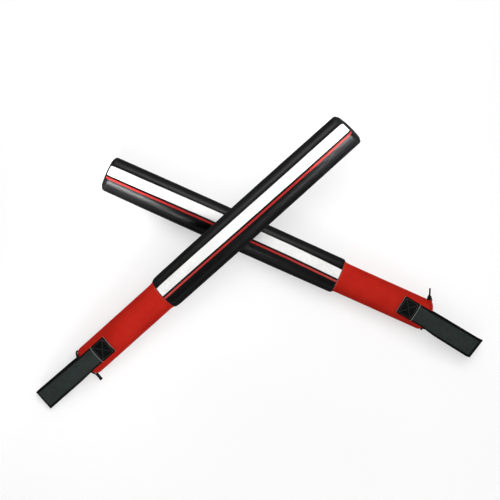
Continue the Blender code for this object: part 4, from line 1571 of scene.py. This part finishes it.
FLOW = {"Scale": 45, "Detail": 3, "Distortion": 1.5}
FOAM = porous("grey_foam", (92, 93, 96), (122, 123, 126))
TUBE_PLASTIC = speckled("tube_plastic", (196, 195, 190), (212, 211, 207), (0.4, 0.55), FLOW)
PLUG_PLASTIC = speckled("plug_plastic", (42, 42, 43), (56, 56, 57), (0.4, 0.55), FLOW)
FINISHES = {"core_tube": TUBE_PLASTIC, "tip_plug": PLUG_PLASTIC, "butt_plug": PLUG_PLASTIC}
CORE_RADIUS = 12.5 * MM
LINING = 1.8 * MM
FOAM_BORE = CORE_RADIUS + 0.3 * MM
END_FOAM_BACK = 547.5 * MM
FOAM_SPLIT = 0.3 * MM
GRIP_FOAM_START = 3.6 * MM


def moved_in(outline):
    """An outline's (x, radius) points moved in by the lining."""
    return [(x - LINING * nx, r - LINING * nr) for x, r, nx, nr in outline]


def bored(outline):
    """An outline closed along the bore for the tube."""
    return [*outline, (outline[-1][0], FOAM_BORE), (outline[0][0], FOAM_BORE)]


for stick in STICKS:
    pad, cap, grip = PAD[stick.name], CAP[stick.name], GRIP[stick.name]
    barrel = [(x, r - LINING) for x, r in pad[:, :2] if x < END_FOAM_BACK - FOAM_SPLIT]
    end = moved_in(pad[pad[:, 0] >= END_FOAM_BACK + LINING])
    end += [(x - LINING, r) for x, r in cap[:, :2] if r < end[-1][1]]
    end = [(END_FOAM_BACK, 0), (END_FOAM_BACK, end[0][1]), *end[:-1], (end[-1][0], 0)]
    lining = moved_in(grip[grip[:, 0] > GRIP_FOAM_START])
    for name, outline, node in (
        ("barrel_foam", bored(barrel), "pad_foam"),
        ("end_foam", end, "tip_foam"),
        ("grip_lining", bored(lining), "grip_foam"),
    ):
        made = lathe(f"{stick.name}_{name}", stick, outline, 72, FOAM)
        dress(made, stick, "foam", node, fill=1.0)
    for node, material in FINISHES.items():
        frame["nodes"][f"{stick.name}_{node}"].material_slots[0].material = material
    print(stick.name, "tube and plugs finished")

# %% [markdown]
# ## Floor
#
# The photograph is a plain white studio shot. A floor lit until it is white would wash out the
# sticks' soft shadow, so this one is pale and matt, and a little white of its own is added for
# camera, mirror and see-through rays only. It reads as white while the shadow stays.

# %% Floor
FLOOR_SIZE = 30
FLOOR_GLOW = 0.5
FLOOR_HEIGHT = -0.2 * MM
WHITE = (1, 1, 1, 1)


def floor_material():
    """Matt pale floor with a white of its own for camera and mirror rays."""
    made, tree, place = start_material("pale_floor")
    cloud = noise_at(tree, place, Scale=1.5, Detail=1)
    rays = add_node(tree, "ShaderNodeLightPath").outputs
    seen = calculate(tree, "MAXIMUM", rays["Is Camera Ray"], rays["Is Glossy Ray"])
    seen = calculate(tree, "MAXIMUM", seen, rays["Is Transmission Ray"])
    return painted(
        made,
        Base_Color=two_tone(tree, cloud, (0.51, 0.51, 0.51, 1), (0.53, 0.53, 0.53, 1)),
        Roughness=0.9,
        Specular_IOR_Level=0.0,
        Emission_Color=WHITE,
        Emission_Strength=calculate(tree, "MULTIPLY", seen, FLOOR_GLOW),
    )


floor_mesh = bpy.data.meshes.new("floor")
half = FLOOR_SIZE / 2
corners = ((-half, -half), (half, -half), (half, half), (-half, half))
floor_mesh.from_pydata([(x, y, FLOOR_HEIGHT) for x, y in corners], [], [(0, 1, 2, 3)])
floor_mesh.materials.append(floor_material())
floor = add_object("floor", floor_mesh)
print("floor", FLOOR_SIZE, "m wide")

# %% [markdown]
# ## Lamps
#
# An area lamp is what a photographer calls a softbox. A wide one hangs over the picture's upper
# side, a little to the right, and a weak one fills in from the lower side. Each barrel also has a
# low softbox on its far side, one on its near side and a narrow one by its tip, which give the
# black leather its sheen. These are placed in the stick's own frame, so that they keep to its
# barrel.


# %% Lamps
def softbox(name, place, aim, width, height, power, spread=180):
    """An area lamp that looks at a point."""
    lamp = bpy.data.lights.new(name, "AREA")
    lamp.shape = "RECTANGLE"
    lamp.size = width
    lamp.size_y = height
    lamp.energy = power
    lamp.spread = math.radians(spread)
    made = add_object(name, lamp)
    made.location = place
    made.rotation_euler = (Vector(aim) - Vector(place)).to_track_quat("-Z", "Y").to_euler()


WORLD_STRENGTH = 0.275
SIDE_DISTANCE = 1.18
TIP_DISTANCE = 0.4
TIP_LAMP_PLACE = 0.555
TIP_LAMP_TURN = {"lower": math.radians(56), "upper": math.radians(45)}
TIP_LAMP_POWER = {"lower": 0.095, "upper": 0.085}

picture_up = Vector((image_up.x, image_up.y, 0)).normalized()
picture_right = Vector((right.x, right.y, 0)).normalized()
up = Vector((0, 0, 1))
key = picture_up * 1.0 + picture_right * 0.45 + up * 3.2
softbox("key_softbox", key, (0, 0, 0), 2.4, 2.4, 76)
softbox("fill_softbox", up * 2.4 - picture_up * 1.9, (0, 0, 0), 2.4, 1.6, 11)
for stick in STICKS:
    aside = stick.side * SIDE_DISTANCE
    turn = -stick.side * TIP_LAMP_TURN[stick.name]
    by_tip = (TIP_LAMP_PLACE, TIP_DISTANCE * math.sin(turn), TIP_DISTANCE * math.cos(turn))
    for label, place, aim, width, height, power, spread in (
        ("low", (0.43, aside, 0.21), 0.43, 0.5, 0.25, 0.24, 30),
        ("near", (0.47, -aside, 0.36), 0.47, 0.3, 0.25, 0.16, 24),
        ("tip", by_tip, 0.545, 0.12, 0.04, TIP_LAMP_POWER[stick.name], 22),
    ):
        place, aim = in_place(stick, place), in_place(stick, (aim, 0, 0))
        softbox(f"{stick.name}_{label}_softbox", place, aim, width, height, power, spread)

world = bpy.data.worlds.new("studio")
world.use_nodes = True
background = world.node_tree.nodes["Background"]
set_inputs(world.node_tree, background, {"Color": WHITE, "Strength": WORLD_STRENGTH})
bpy.context.scene.world = world
bpy.context.scene.view_settings.view_transform = "Standard"
